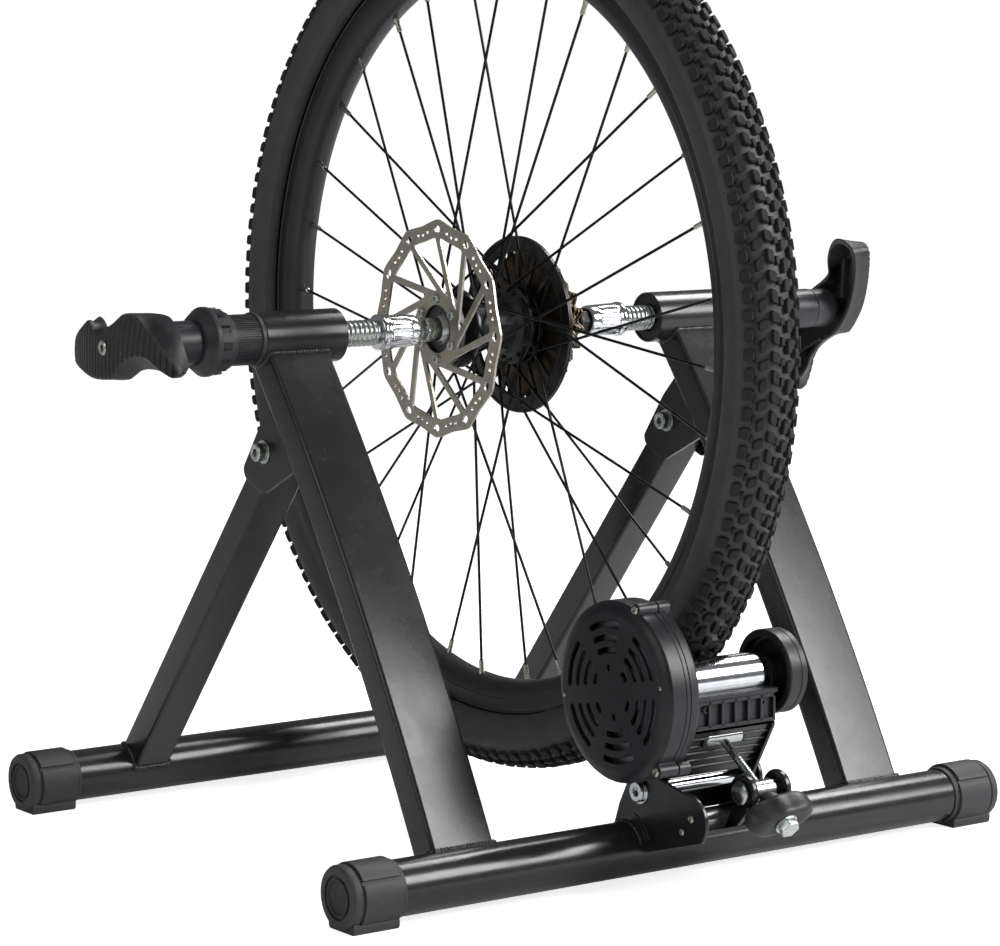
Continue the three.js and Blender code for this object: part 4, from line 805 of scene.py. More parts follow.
def treadShape():
    knobs, grain = [], random.Random(4)
    for x, halfAcross, halfRound, start, lean in wheel["treadRows"]:
        high = wheel["radius"] - 0.2 - treadHeight(x) if abs(x) < 3 else 3.4 if abs(x) < 14 else 3.2
        high = min(high, 3.9) * (0.62 if halfAcross < 2 else 1)
        for i in range(wheel["knobs"]):
            angle = fullTurn * (i + start) / wheel["knobs"]
            odd, swing = (0.88, lean) if i % 2 else (1.08, 0.7 * lean)
            knobs.append(treadKnob(x, halfAcross * odd, halfRound * (2 - odd),
                                   high + grain.uniform(-0.15, 0.1), angle, swing))
    return joined(*knobs)


piece("tyre_casing", onAxle(tyreShape()), wallRubber, "wheel", "tyre", angle=28)
piece("tyre_tread_knobs", onAxle(treadShape()), treadRubber, "wheel", angle=30)

rimSide = [(12.5, 285.5), (12.5, 284.6), (11.9, 284.0), (12.3, 282.6), (12.3, 275.2), (12.0, 274.6),
           (12.3, 274.0), (12.0, 271), (10.6, 267.0), (8.4, 264.2), (5.4, 262.6), (2.6, 262.0)]
rimInside = [(10.4, 285.5), (10.4, 279), (7.0, 276.8), (2.0, 276.0)]
rimProfile = rimSide[::-1] + rimInside + leftHalf(rimInside) + [(-x, r) for x, r in rimSide]
piece("rim_extrusion", onAxle(turned(rimProfile, 288, closed=True)), anodised, "wheel", "rim",
      angle=24)


def tapered(path, radii, segments=10):
    return swept(ringPoints(1, segments), path, sizes=radii)


def stepped(start, direction, places):
    return [start + direction * place for place in places]


spokeShapes, nippleShapes = [], []
firstSpoke = math.radians(wheel["firstAngle"])
spokeStep = fullTurn / wheel["spokes"]
sideways = Vector((1, 0, 0))
for i in range(wheel["spokes"]):
    rimAngle = firstSpoke + i * spokeStep
    pull = -1 if i % 4 < 2 else 1
    hubAngle = rimAngle + pull * wheel["crossings"] * 2 * spokeStep
    flangeX = wheel["flangeRight"] if i % 2 else wheel["flangeLeft"]
    start = Vector((flangeX, *polar(wheel["hubRing"], hubAngle, (0, axleHeight))))
    head = -pull * sideways  # trailing spokes lie outside the flange, leading ones inside
    elbow = start - head * 2.3
    end = Vector((2.2 if i % 2 else -2.2, *polar(wheel["rimInner"] + 6, rimAngle, (0, axleHeight))))
    r, nipple, long = wheel["spokeRadius"], wheel["nipple"], wheel["nippleLong"]
    path = stepped(start, head, (2.6, -0.8))
    path += [elbow.lerp(end, 0.004) - head * 0.1, elbow.lerp(end, 0.02), elbow.lerp(end, 0.06), end]
    spokeShapes += [tapered(path, [r] * 6),
                    tapered(stepped(start, head, (2.0, 2.5, 3.3)), [r, 2.0, 1.2], 12)]
    along = (end - elbow).normalized()
    nippleShapes.append(tapered(stepped(end - along * (long + 6), along, (0, 0.5, 7.5, 8.2, long + 5)),
                                [1.35, nipple - 0.3, nipple - 0.3, nipple, nipple + 0.5], 8))
piece("spokes_laced", joined(*spokeShapes), blackedSpoke, "wheel", angle=45)
piece("spoke_nipples", joined(*nippleShapes), nickel, "wheel", angle=30)

# Hub shell: drilled flanges, waisted barrel, disc seat on the left, freewheel body on the right
hubProfile = [(-49.7, 6), (-49.7, 26.4), (-49.1, 27), (-46.2, 27), (-45.4, 26), (-44.6, 19),
              (-43.4, 17.4), (-38.4, 17.2), (-37.2, 19.5), (-36.2, 24), (-35.6, 28.4), (-35.0, 29),
              (-33.2, 29), (-32.6, 28.4), (-32.4, 25), (-30.5, 20.5), (-26, 17.4), (-18, 16.3),
              (0, 16.3), (7, 17.6), (10.6, 21), (11.6, 25), (11.9, 28.4), (12.4, 29), (13.9, 29),
              (14.5, 28.4), (14.9, 24), (16.4, 19), (18, 17.1), (24.4, 17.1), (24.4, 6)]
holeRims = []
rimPoints, rimFaces = turned([(1.35, 1.35), (1.47, 1.5), (1.47, 2.0), (1.35, 2.2)], 14)
for odd, flangeX in ((1, wheel["flangeLeft"]), (0, wheel["flangeRight"])):
    for i in range(wheel["spokes"] // 2):
        y, z = polar(wheel["hubRing"], firstSpoke + spokeStep * (2 * i + odd))
        holeRims += [([Vector((flangeX + face * p.x, p.y + y, p.z + z)) for p in rimPoints], rimFaces)
                     for face in (-1, 1)]
hub = joined(turned(hubProfile, 96, closed=True), *holeRims)
piece("hub_shell", onAxle(hub), anodised, "wheel", "hub_and_spokes", angle=30)


# Brake disc: twelve pointed lobes, an oval hole in each, round holes between, slim swept arms
disc = {"tip": 80, "dip": 3.8, "lobes": 12, "firstDegrees": 0.8, "trackInner": 65.6, "armMeets": 66.5,
        "wave": 0.8, "hubOuter": 28, "bore": 17.6, "thick": 1.9, "armOff": 24, "armWide": 4.6,
        "tipHole": (72.6, 7.4, 5.4), "between": (70.6, 3.2), "bolts": 6, "boltRing": 22}
discLow, discHigh = nodeSpan("brake_disc")
discStart = (discLow.x + discHigh.x - disc["thick"]) / 2
lobeTurn = fullTurn / disc["lobes"]
discFirst = math.radians(disc["firstDegrees"])


def discEdge(samples=16):
    made = []
    for i in range(disc["lobes"] * samples):
        away = abs((i / samples + 0.5) % 1 - 0.5) * 2
        radius = disc["tip"] - 0.35 * max(0, 1 - away * 9) - disc["dip"] * (1 - (1 - away) ** 1.5)
        made.append(polar(radius, discFirst + lobeTurn * i / samples))
    return made


def ovalHole(centre, long, wide, angle, count=20):
    made = []
    for u, v in ringPoints(0.5, count):
        across = polar(long * u, angle, centre)
        made.append(polar(wide * v, angle + math.pi / 2, across))
    return made


def armSide(index, offset, radius):
    # where one side of an arm, a straight line passing the centre at this offset, crosses a radius
    normal = discFirst + lobeTurn * index + math.acos(disc["armOff"] / disc["armMeets"])
    return normal - math.acos(offset / radius)


def discWindow(k):
    wide, track = disc["armWide"] / 2, disc["trackInner"]
    sides = ((k, disc["armOff"] + wide), (k + 1, disc["armOff"] - wide))
    start, end = (armSide(*arm, track) for arm in sides)
    inner = [armSide(*arm, disc["hubOuter"]) for arm in sides[::-1]]
    rim = []
    for angle in (start + (end - start) * i / 8 for i in range(9)):
        rim.append(polar(track + disc["wave"] * math.cos(disc["lobes"] * (angle - discFirst)), angle))
    return filleted(rim + arcPoints((0, 0), disc["hubOuter"], *inner, 3), 1.4, 2)


def discHoles(k):
    tipRing, long, wide = disc["tipHole"]
    ring, width = disc["between"]
    tip = discFirst + k * lobeTurn
    return [ovalHole(polar(tipRing, tip), long, wide, tip + math.pi / 2)] + [
        ovalHole(polar(ring + lift, tip + share * lobeTurn), width, width, 0, 12)
        for share, lift in ((0.335, 0.5), (0.5, -0.6), (0.665, 0.5))]


lobes = range(disc["lobes"])
discCuts = [discWindow(k) for k in lobes] + [hole for k in lobes for hole in discHoles(k)]
discPlate = plate([discEdge(), ringPoints(disc["bore"], 72)] + discCuts, discStart, disc["thick"], 0.15)
boltHeads = [moved(socketBolt(3.6, 2.2, discStart, 1.6, 1.4), 0,
                   *polar(disc["boltRing"], fullTurn * (k / disc["bolts"] + 1 / 12)))
             for k in range(disc["bolts"])]
piece("brake_disc_ground", onAxle(discPlate), groundSteel, "wheel", "brake_disc",
      angle=30)
piece("brake_disc_bolts", onAxle(joined(*boltHeads)), zincPlate, "wheel")

# Spoke guard: dished plastic plate, open between its ribs
guard = {"outer": 65.5, "rimInner": 54, "hubOuter": 27, "bore": 17.4, "place": 20.5, "thick": 2,
         "ribs": 16}


def fanHole(outer, inner, start, end, steps, corner):
    return filleted(arcPoints((0, 0), outer, start, end, steps)
                    + arcPoints((0, 0), inner, end, start, steps - 2), corner, 3)


ribTurn = fullTurn / guard["ribs"]
windows = [fanHole(guard["rimInner"], guard["hubOuter"] + 3, ribTurn * (k + 0.13),
                   ribTurn * (k + 0.87), 8, 1.2) for k in range(guard["ribs"])]
low = guard["place"] - 1.8
guardShape = joined(
    plate([ringPoints(guard["outer"], 144), ringPoints(guard["bore"], 72)] + windows, low + 0.8,
          guard["thick"], 0.3),
    pipe(guard["outer"], 2.2, low, low + 3.7, 144, 0.5),
    pipe(guard["rimInner"] + 2.4, 1.6, low + 0.2, low + 2.6, 144, 0.4),
    pipe(guard["hubOuter"] + 2, 1.8, low + 0.1, low + 2.6, 96, 0.4))
piece("spoke_guard_moulded", onAxle(guardShape), guardPlastic, "wheel", "spoke_guard")

# Sprockets: toothed plates with spacers between them
cassette = {"teeth": [28, 24, 21, 18, 16, 14], "first": 26, "spacing": 6, "thick": 2, "pitch": 12.7,
            "bore": 14, "tip": 3.4, "root": -3.7, "windows": 6, "carrier": 22, "spacer": 21,
            "toothLead": 0.07}


def pitchRadius(teeth):
    return cassette["pitch"] / (2 * math.sin(math.pi / teeth))


def sprocketOutline(teeth, lead):
    root, tip = cassette["root"], cassette["tip"]
    tooth = ((0.0, root), (0.12, root + 0.5), (0.28, 0.6), (0.42, tip), (0.55, tip), (0.72, 0.6),
             (0.88, root + 0.5))
    return [polar(pitchRadius(teeth) + rise, fullTurn * (i + share) / teeth + lead)
            for i in range(teeth) for share, rise in tooth]


sprockets = []
for k, teeth in enumerate(cassette["teeth"]):
    holes = [ringPoints(cassette["bore"], 48)]
    if 18 < teeth < 28:
        windowTurn = fullTurn / cassette["windows"]
        holes += [fanHole(pitchRadius(teeth) - 8, cassette["carrier"],
                          windowTurn * (j + 0.18 + k * 0.2), windowTurn * (j + 0.82 + k * 0.2), 6, 1.5)
                  for j in range(cassette["windows"])]
    start = cassette["first"] + k * cassette["spacing"]
    outline = sprocketOutline(teeth, k * cassette["toothLead"])
    sprockets.append(plate([outline] + holes, start, cassette["thick"], 0.35))
    if k:
        sprockets.append(pipe(cassette["spacer"] - k * 0.3, 6.6 - k * 0.3, start - 4.1, start + 0.1,
                              64, 0.3))
sprockets.append(turned([(57.9, 14.2), (57.9, 19.6), (58.4, 20.2), (59.6, 20.2), (60.2, 19.6),
                         (60.2, 17.4), (59.2, 16.6), (59.2, 14.2)], 64, closed=True))
piece("sprocket_stack", onAxle(joined(*sprockets)), oiledSteel, "sprockets", "cassette",
      angle=25)

# Axle with its thread showing beside the nuts, cones and lock nuts against the hub
axle = {"thread": (4.6, 5.0, 1.0), "flats": 17, "nutFlats": 14.8}
cone = turned([(-61.5, 5.2), (-61.5, 8.2), (-60.9, 8.6), (-53.5, 8.8), (-49, 12.2), (-46.4, 12.4),
               (-46.4, 5.2)], 48, closed=True)
axleShape = joined(threadedRod(-84, -50, *axle["thread"], 28), rod(4.9, -52, 66, 32),
                   threadedRod(62, 93, *axle["thread"], 28))
piece("axle_threaded", onAxle(axleShape), zincPlate, "stand", "axle", angle=50)
for side, sign in sides.items():
    low, high = nodeSpan("axle_nut_" + side)
    long = high.x - low.x
    nut = joined(hexagon(axle["nutFlats"], 0, long - 1.2, 0.7),
                 turned([(0, 5.2), (0, 9.0), (0.3, 9.4), (1.5, 9.4), (1.9, 9.0), (1.9, 5.2)], 48,
                        closed=True),
                 turned([(long - 2, 5.1), (long - 2, 6.9), (long - 0.6, 6.2), (long, 5.6), (long, 5.1)],
                        48, closed=True))
    nut = moved(nut, low.x) if sign > 0 else moved(mirrored(nut), high.x)
    piece("axle_nut_black_" + side, onAxle(nut), castIron, "stand", "axle_nut_" + side)
lockNuts = joined(hexagon(axle["flats"], -66.6, -61.5), cone, hexagon(axle["flats"], 62.6, 66.6))
piece("axle_lock_nuts", onAxle(lockNuts), zincPlate, "stand")

# Valve: nickelled stem with a turned cap, on the far side of the rim from the resistance unit
valve = {"spokePlace": 7.7, "stem": 2.8, "cap": 3.9, "nut": 3.8}
valveAngle = firstSpoke + valve["spokePlace"] * spokeStep
valveLow, valveHigh = nodeSpan("valve_stem")
valveMiddle = ((valveLow + valveHigh) / 2 - Vector((0, 0, axleHeight))).length
outer = wheel["rimInner"] - 0.3
inner = 2 * valveMiddle - outer
stem = turned([(inner, 0), (inner, 2.2), (inner + 1, 3.4), (inner + 2, valve["cap"]),
               (inner + 8, valve["cap"]), (inner + 8.4, 3.3), (inner + 8.8, valve["stem"]),
               (outer - 7, valve["stem"]), (outer - 6.6, 3.6), (outer - 1, valve["nut"]),
               (outer, valve["nut"]), (outer, 0)], 40)
quarterTurn = Matrix.Rotation(math.pi / 2, 3, "Z")
stem = transformed(stem, Matrix.Rotation(valveAngle, 3, "X") @ quarterTurn)
piece("valve_stem_plated", onAxle(stem), nickel, "wheel", "valve_stem")
print("wheel ready")

# Saddle: folded plate bracket welded round the rear base tube, with the tilt pin and the clevis ears
saddle = {"inner": 45, "sheet": 3, "tilt": (-236, 66), "crown": 12.5, "lobe": (-288, 54),
          "lobeRadius": 18.5, "barrel": (-306, 73), "earRadius": 12.5, "earInner": 12.4, "earSheet": 4,
          "softness": 0.6}
saddleHalf = saddle["inner"] + saddle["sheet"]
betweenCheeks = (-saddle["inner"] + 0.2, 2 * saddle["inner"] - 0.4, 0.3)

cheekRise = [(-206, 38), (-212, 54)]
cheek = (arcPoints(rearAxis, 19.4, 0.30, math.pi - 0.15, 20)[::-1]
         + cheekRise + arcPoints(saddle["tilt"], saddle["crown"] + 3, 0.35, 1.75, 12)
         + arcPoints(saddle["lobe"], saddle["lobeRadius"], 1.35, 3.9, 20) + [(-262, 30), (-240, 24)])
shortCheek = (arcPoints(rearAxis, 19.4, 0.30, math.pi - 0.75, 16)[::-1]
              + cheekRise + arcPoints(saddle["tilt"], saddle["crown"] + 3, 0.35, 3.3, 20))
cheeks = [plate([outline, ringPoints(5.4, 40, saddle["tilt"])], start, saddle["sheet"],
                saddle["softness"])
          for outline, start in ((cheek, -saddleHalf), (shortCheek, saddle["inner"]))]
upper = [(p.x, p.y) for p in curved([(-228, 39), (-244, 33.5), (-262, 36), (-294, 46), (-300, 49)], 8)]
webPlate = plate([upper + [(y, z - 3) for y, z in upper[::-1]]], *betweenCheeks)
frontWall = plate([[(-209, 40), (-206.4, 40), (-212.4, 56), (-215, 56)]], *betweenCheeks)
ears = []
earLine = arcPoints(saddle["barrel"], saddle["earRadius"], -0.75, math.pi + 0.5, 28)
earLine += [(-298, 46), (-284, 40.5)]
# a turned rim on each face of an ear
earRim = turned([(0, 9.4), (0.8, 9.8), (0.8, 11.6), (0, 12.0)], 48)
for start in (-saddle["earInner"] - saddle["earSheet"], saddle["earInner"]):
    ears += [plate([earLine, ringPoints(4.7, 32, saddle["barrel"])], start, saddle["earSheet"], 0.8),
             moved(mirrored(earRim), start, *saddle["barrel"]),
             moved(earRim, start + saddle["earSheet"], *saddle["barrel"])]
# shallow pressed arcs on the cheeks, concentric with the base tube
embossed = [swept(ringPoints(0.55, 8), [(x, *p) for p in arcPoints(rearAxis, radius, 1.9, 2.75, 20)])
            for x in (-saddleHalf - 0.1, saddleHalf + 0.1) for radius in (24.5, 28.0)]
piece("saddle_plates", joined(*cheeks, webPlate, frontWall, *ears, *embossed), powderCoat, "stand",
      "saddle_bracket")
saddleWelds = []
for sign in (-1, 1):
    run = [Vector((sign * (saddleHalf + 0.2), *p))
           for p in arcPoints(rearAxis, 19.2, 0.4, math.pi - 0.35, 40)]
    saddleWelds.append(weldBead(run + [p + sign * 0.5 * sideways for p in run[::-1]], 1.4, 12))
piece("saddle_welds", joined(*saddleWelds), weldCoat, "stand", angle=60)
cheekScrews = [moved(socketBolt(radius, 1.3, 0, radius * 0.48, 0.9), -saddleHalf, y, z)
               for y, z, radius in ((-291, 56.5, 2.7), (-281.5, 46, 2.3))]
piece("saddle_screws", joined(*cheekScrews), nickel, "stand")

tiltShape = joined(socketBolt(7.2, 3.2, -saddleHalf - 1.4, 3.4, 2.4),
                   rod(4.9, -saddleHalf - 1.5, saddleHalf + 3, 40),
                   washer(-saddleHalf - 1.4, -saddleHalf - 0.1, 5, 8.9),
                   lockNut(13, saddleHalf + 0.2, 4.0))
piece("tilt_pin_plated", moved(tiltShape, 0, *saddle["tilt"]), chromePlate, "stand", "tilt_pin")

# Resistance unit, drawn about the roller axis
unit = {"armInner": 37.3, "armSheet": 3, "boss": 13, "pinBoss": 11.6, "cross": (-263, 103),
        "crossHalf": 15.6}
rollerLow, rollerHigh = nodeSpan("roller")
rollerAxis = (round((rollerLow.y + rollerHigh.y) / 2, 2), round((rollerLow.z + rollerHigh.z) / 2, 2))


def onUnit(shape):
    return moved(shape, 0, *rollerAxis)


def fromRoller(place):
    return place[0] - rollerAxis[0], place[1] - rollerAxis[1]


pin, cross = fromRoller(saddle["tilt"]), fromRoller(unit["cross"])
armLine = filleted(arcPoints((0, 0), unit["boss"], -0.25, math.pi, 24) + [(-13, -30), (-14.6, -34.4)]
                   + arcPoints(pin, unit["pinBoss"], -2.55, 0.15, 20), 2.5, 3)
armShapes = [plate([armLine, ringPoints(5.9, 36), ringPoints(5.4, 36, pin)], start, unit["armSheet"],
                   0.5)
             for start in (-unit["armInner"] - unit["armSheet"], unit["armInner"])]
sheetHalf = unit["armInner"] + 0.4


def bar(xHalf, yLow, yHigh, zLow, zHigh, soft=0.3):
    return plate([[(yLow, zLow), (yHigh, zLow), (yHigh, zHigh), (yLow, zHigh)]], -xHalf, 2 * xHalf,
                 soft)


sheets = [bar(sheetHalf, -15.5, -12.5, -33, -7), bar(sheetHalf, -19.5, -10, -10, -7.2),
          bar(sheetHalf, -15.5, 0, -33, -30.2),
          plate([[(-13, -33), (-10, -33), (13.5, -66), (11, -68)]], -sheetHalf, 2 * sheetHalf, 0.3)]
# ridges across the sloping sheet
sheets += [moved(rod(1.1, -sheetHalf, sheetHalf, 16, 0.3), 0, -13 + 24 * share, -33 - 35 * share)
           for share in (0.16, 0.32, 0.48, 0.64, 0.8)]
tabLine = arcPoints(cross, 5.8, -math.pi, 0, 20) + [(cross[0] + 11, -31), (cross[0] + 2, -31)]
tabs = [plate([tabLine, ringPoints(3.3, 24, cross)], start, 3, 0.4)
        for start in (-unit["crossHalf"] - 3.3, unit["crossHalf"] + 0.3)]
piece("unit_plates", onUnit(joined(*armShapes, *sheets, *tabs)), powderCoat, "unit", "unit_bracket")

panel = {"half": 35, "depth": (-20.6, -17.4), "low": -30, "high": -10.6, "band": 2.5, "ribs": 7,
         "screws": 24.5}
panelParts = [bar(panel["half"], -17.6, -15.8, panel["low"], panel["high"], 0.2)]
panelParts += [bar(panel["half"], *panel["depth"], z, z + panel["band"])
               for z in (panel["low"], panel["high"] - panel["band"])]
rib = bar(1, *panel["depth"], panel["low"] + 1, panel["high"] - 0.4)
panelParts += [moved(rib, (panel["half"] - 1) * (2 * i / (panel["ribs"] - 1) - 1))
               for i in range(panel["ribs"])]
panelParts.append(bar(36.6, -21.2, -16.4, -10.2, -7.6))
piece("ribbed_panel_moulded", onUnit(joined(*panelParts)), mouldedAbs, "unit", "ribbed_panel")
panelScrew = transformed(socketBolt(3.1, 1.6, 0, 1.4, 1.1), quarterTurn)
panelScrews = [moved(panelScrew, x, -18, -16.6) for x in (-panel["screws"], panel["screws"])]
piece("panel_screws", onUnit(joined(*panelScrews)), castIron, "unit")

# Casing: vented cover and back shell; the vents leave a plain band, tipped up towards the back
casing = {"radius": 61.5, "front": -91, "seam": -72, "back": -64, "wall": 2.4, "flat": 52.5,
          "slotWide": 4.2, "band": 12, "lean": -10.3, "sideEnd": 50, "capHalf": 21,
          "rings": (46, 37, 28.5, 18.5), "shortEnd": 44, "stub": 16.5, "boss": 4.6,
          "bosses": ((62.1, 111), (65, -134)), "screws": ((53, 168.7), (53, -10.2))}


def slotHole(radius, start, end, steps=12):
    half = casing["slotWide"] / 2
    return (arcPoints(polar(radius, start), half, start - math.pi, start, 6)
            + arcPoints((0, 0), radius + half, start, end, steps)[1:-1]
            + arcPoints(polar(radius, end), half, end, end + math.pi, 6)
            + arcPoints((0, 0), radius - half, end, start, steps)[1:-1])


slotHoles = []
lean, slotHalf = math.radians(casing["lean"]), casing["slotWide"] / 2
for ring in casing["rings"]:
    nearBand = math.asin((casing["band"] / 2 + slotHalf) / ring)
    endTurn = math.radians(casing["sideEnd"] if ring > 20 else casing["shortEnd"]) - slotHalf / ring
    capEnd = math.radians(casing["capHalf"]) - slotHalf / ring
    for turn in (lean, lean + math.pi):
        top = turn + math.pi / 2
        slotHoles += [slotHole(ring, turn + nearBand, turn + endTurn),
                      slotHole(ring, turn - endTurn, turn - nearBand),
                      slotHole(ring, top - capEnd, top + capEnd) if ring > 20 else
                      ovalHole(polar(casing["stub"], top), slotHalf * 2.4, slotHalf * 1.7, top)]
front, seam, back = casing["front"], casing["seam"], casing["back"]
r, inside, flat = casing["radius"], casing["radius"] - casing["wall"], casing["flat"]
facePlate = plate([ringPoints(flat + 0.6, 160)] + slotHoles, front, casing["wall"], 0.35)
coverRim = turned([(front + 2.4, flat - 0.4), (front + 0.05, flat - 0.4), (front + 0.05, flat + 0.6),
                   (front + 0.6, 55.6), (front + 1.7, 58.2), (front + 3.2, 60.3), (front + 4.2, 60.9),
                   (front + 4.5, 61.3), (front + 5.4, r), (seam - 4.2, r), (seam - 3.8, r - 0.5),
                   (seam - 3.4, r - 0.5), (seam - 3, r), (seam - 0.3, r), (seam + 0.05, r - 0.4),
                   (seam + 0.05, inside), (front + 6, inside), (front + 2.8, 56)], 192, closed=True)
backShell = turned([(seam + 0.35, inside), (seam + 0.35, r - 0.4), (seam + 0.7, r), (back - 2.4, r),
                    (back - 0.8, r - 0.6), (back, r - 2.2), (back, 46), (back + 1.2, 44),
                    (back + 1.2, 24), (back + 3, 20), (back + 8, 18), (-40.8, 17.7), (-40.6, 17.2),
                    (-40.6, 6), (back - 2.4, 6), (back - 2.4, inside)], 192, closed=True)
stiffener = plate([[(20, -1), (56, -1), (56, 1), (20, 1)]], back - 0.4, 3.2, 0.3)
ribsBehind = [moved(stiffener, turn=fullTurn * k / 12) for k in range(12)]
# a web joins each boss to the shell
webs = [moved(plate([[(48, -3.6), (radius, -4.2), (radius, 4.2), (48, 3.6)]], front + 4.4, 14.2, 0.4),
              turn=math.radians(degrees)) for radius, degrees in casing["bosses"]]


def atSpots(shape, spots):
    # copies of a form at places given as (radius, degrees)
    return [moved(shape, 0, *polar(radius, math.radians(degrees))) for radius, degrees in spots]


coverBosses = atSpots(rod(casing["boss"], front + 3, seam - 0.3, 40, 0.5), casing["bosses"])
piece("casing_cover_moulded", onUnit(joined(facePlate, coverRim, *coverBosses, *webs)), mouldedAbs,
      "unit", "casing_cover", angle=40)
backBosses = atSpots(pipe(casing["boss"], 1.7, seam + 0.4, back + 2, 40), casing["bosses"])
piece("casing_back_moulded", onUnit(joined(backShell, *ribsBehind, *backBosses)), mouldedAbs, "unit",
      "casing_back", angle=40)
caseScrews = (atSpots(socketBolt(3.1, 1.7, front + 3, 1.3, 1.2), casing["bosses"])
              + atSpots(socketBolt(1.7, 0.7, front + 0.3, 0.7, 0.5), casing["screws"]))
piece("casing_screws", onUnit(joined(*caseScrews)), nickel, "unit")

# Inside the casing: magnet carrier and the driven disc, seen through the vents
for node in ("magnet_ring", "drag_disc"):
    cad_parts[node].data.materials.clear()
    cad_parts[node].data.materials.append(plainAlloy)

# Roller, shaft and flywheel
rollerShape = turned([(-31, 6), (-31, 13.6), (-30.4, 14.6), (-29.4, 15), (29.4, 15), (30.4, 14.6),
                      (31, 13.6), (31, 6), (30.2, 6), (30.2, 12), (29.4, 12), (29.4, 6)], 128)
collars = [pipe(8.8, 3.2, start, start + 5, 48) for start in (-36.6, 31.6)]
piece("roller_plated", onUnit(joined(rollerShape, *collars)), chromePlate, "roller_set", "roller",
      angle=25)
piece("roller_shaft_turned", onUnit(rod(5.4, -82, 60, 48, 0.7)), zincPlate, "roller_set",
      "roller_shaft")
flywheelShape = turned([(41.5, 5.8), (41.5, 10.4), (42, 11), (46.4, 11.4), (48.5, 12.6), (48.5, 22.4),
                        (47.6, 24), (42.2, 24.6), (41.5, 25.2), (41.5, 28.6), (42.3, 29.5),
                        (50.6, 29.5), (50.9, 29.1), (51.3, 29.1), (51.6, 29.5), (55.6, 29.5),
                        (57, 28.1), (57, 24.6), (56.2, 23.4), (54.2, 22.6), (54.2, 13), (55.4, 11.6),
                        (57, 11), (57, 5.8)], 144, closed=True)
piece("flywheel_cast", onUnit(flywheelShape), castIron, "roller_set", "flywheel",
      angle=28)

# Tension linkage: cross pin, screw, swivel barrel and star knob
link = {"knobStart": 14.2, "knobThick": 18, "lobes": 2, "lead": 0.3, "core": 12, "reach": 12.5,
        "around": 180, "root": 2.55, "crest": 3, "pitch": 2.0, "hex": 12.6, "hexHigh": 6}
crossPlace, barrelPlace = Vector(unit["cross"]), Vector(saddle["barrel"])
screwLine = barrelPlace - crossPlace
screwTurn = math.atan2(screwLine.y, screwLine.x)
barrelAway = screwLine.length


def alongScrew(shape):
    # from a form drawn along +X to the line of the screw in the YZ plane, starting at the cross pin
    return moved(transformed(shape, quarterTurn), 0, *crossPlace, screwTurn)


crossShape = joined(rod(6.1, -unit["crossHalf"], unit["crossHalf"], 64, 0.8),
                    rod(3, -19.1, 19.1, 40, 0.4))
piece("cross_pin_plated", moved(crossShape, 0, *crossPlace), zincPlate, "cross_pin", "cross_pin")
knobEnd = barrelAway + link["knobStart"] + link["knobThick"]
screwShape = joined(rod(2.8, -3, barrelAway * 0.42, 32),
                    threadedRod(barrelAway * 0.4, knobEnd + 1, link["root"], link["crest"],
                                link["pitch"], 28))
piece("tension_screw_thread", alongScrew(screwShape), zincPlate, "tension_screw", "tension_screw",
      angle=50)
nutShape = joined(hexagon(link["hex"], knobEnd + 0.3, knobEnd + 0.3 + link["hexHigh"], 0.7),
                  turned([(knobEnd - 0.9, 3.4), (knobEnd - 0.9, 7.9), (knobEnd - 0.2, 8.2),
                          (knobEnd + 0.5, 8.2), (knobEnd + 0.5, 3.4)], 48, closed=True))
piece("star_knob_nut", alongScrew(nutShape), zincPlate, "tension_screw")


def starOutline(grow):
    made = []
    for i in range(link["around"]):
        angle = fullTurn * i / link["around"]
        lobe = 0.5 + 0.5 * math.cos(link["lobes"] * (angle - link["lead"]))
        made.append(polar((link["core"] + link["reach"] * lobe ** 2.2) * grow, angle))
    return made


def starKnob():
    start = barrelAway + link["knobStart"]
    points, rings = [], []
    # height along the screw, size, from the barrel side to the nut side
    for x, grow in ((0, 0), (0, 0.50), (0.2, 0.80), (1.0, 0.90), (3.0, 0.97), (6.0, 1.0), (11.0, 1.0),
                    (14.4, 0.965), (16.4, 0.90), (17.5, 0.80), (18.0, 0.62), (17.4, 0.5), (17.4, 0)):
        outline = starOutline(grow) if grow else [(0, 0)]
        rings.append([len(points) + i for i in range(len(outline))])
        points += [Vector((start + x, *p)) for p in outline]
    sleeve = turned([(barrelAway + 8.4, 4), (barrelAway + 8.4, 6.6), (barrelAway + 9, 7.2),
                     (start + 0.4, 8.6), (start + 0.4, 4)], 48, closed=True)
    return joined((points, skinned(rings)), sleeve)


piece("star_knob_moulded", alongScrew(starKnob()), mouldedNylon, "tension_screw", "star_knob",
      angle=50)
earOut = saddle["earInner"] + saddle["earSheet"]
barrelShape = joined(rod(7, -9, 9, 64, 1.0), rod(4.4, -earOut - 1, earOut + 1, 40, 0.3),
                     turned([(-earOut - 0.4, 4), (-earOut - 0.4, 7.6), (-earOut - 0.7, 8),
                             (-earOut - 2.2, 8), (-earOut - 2.9, 7.5), (-earOut - 3.5, 6.4),
                             (-earOut - 4.1, 4.6), (-earOut - 4.4, 2.6), (-earOut - 4.5, 0)], 64),
                     turned([(earOut + 0.3, 4), (earOut + 0.3, 6.5), (earOut + 1.6, 6.5),
                             (earOut + 1.9, 6), (earOut + 1.9, 0)], 48))
piece("swivel_barrel_plated", moved(barrelShape, 0, *barrelPlace), zincPlate, "swivel_barrel",
      "swivel_barrel")
print("resistance unit ready")


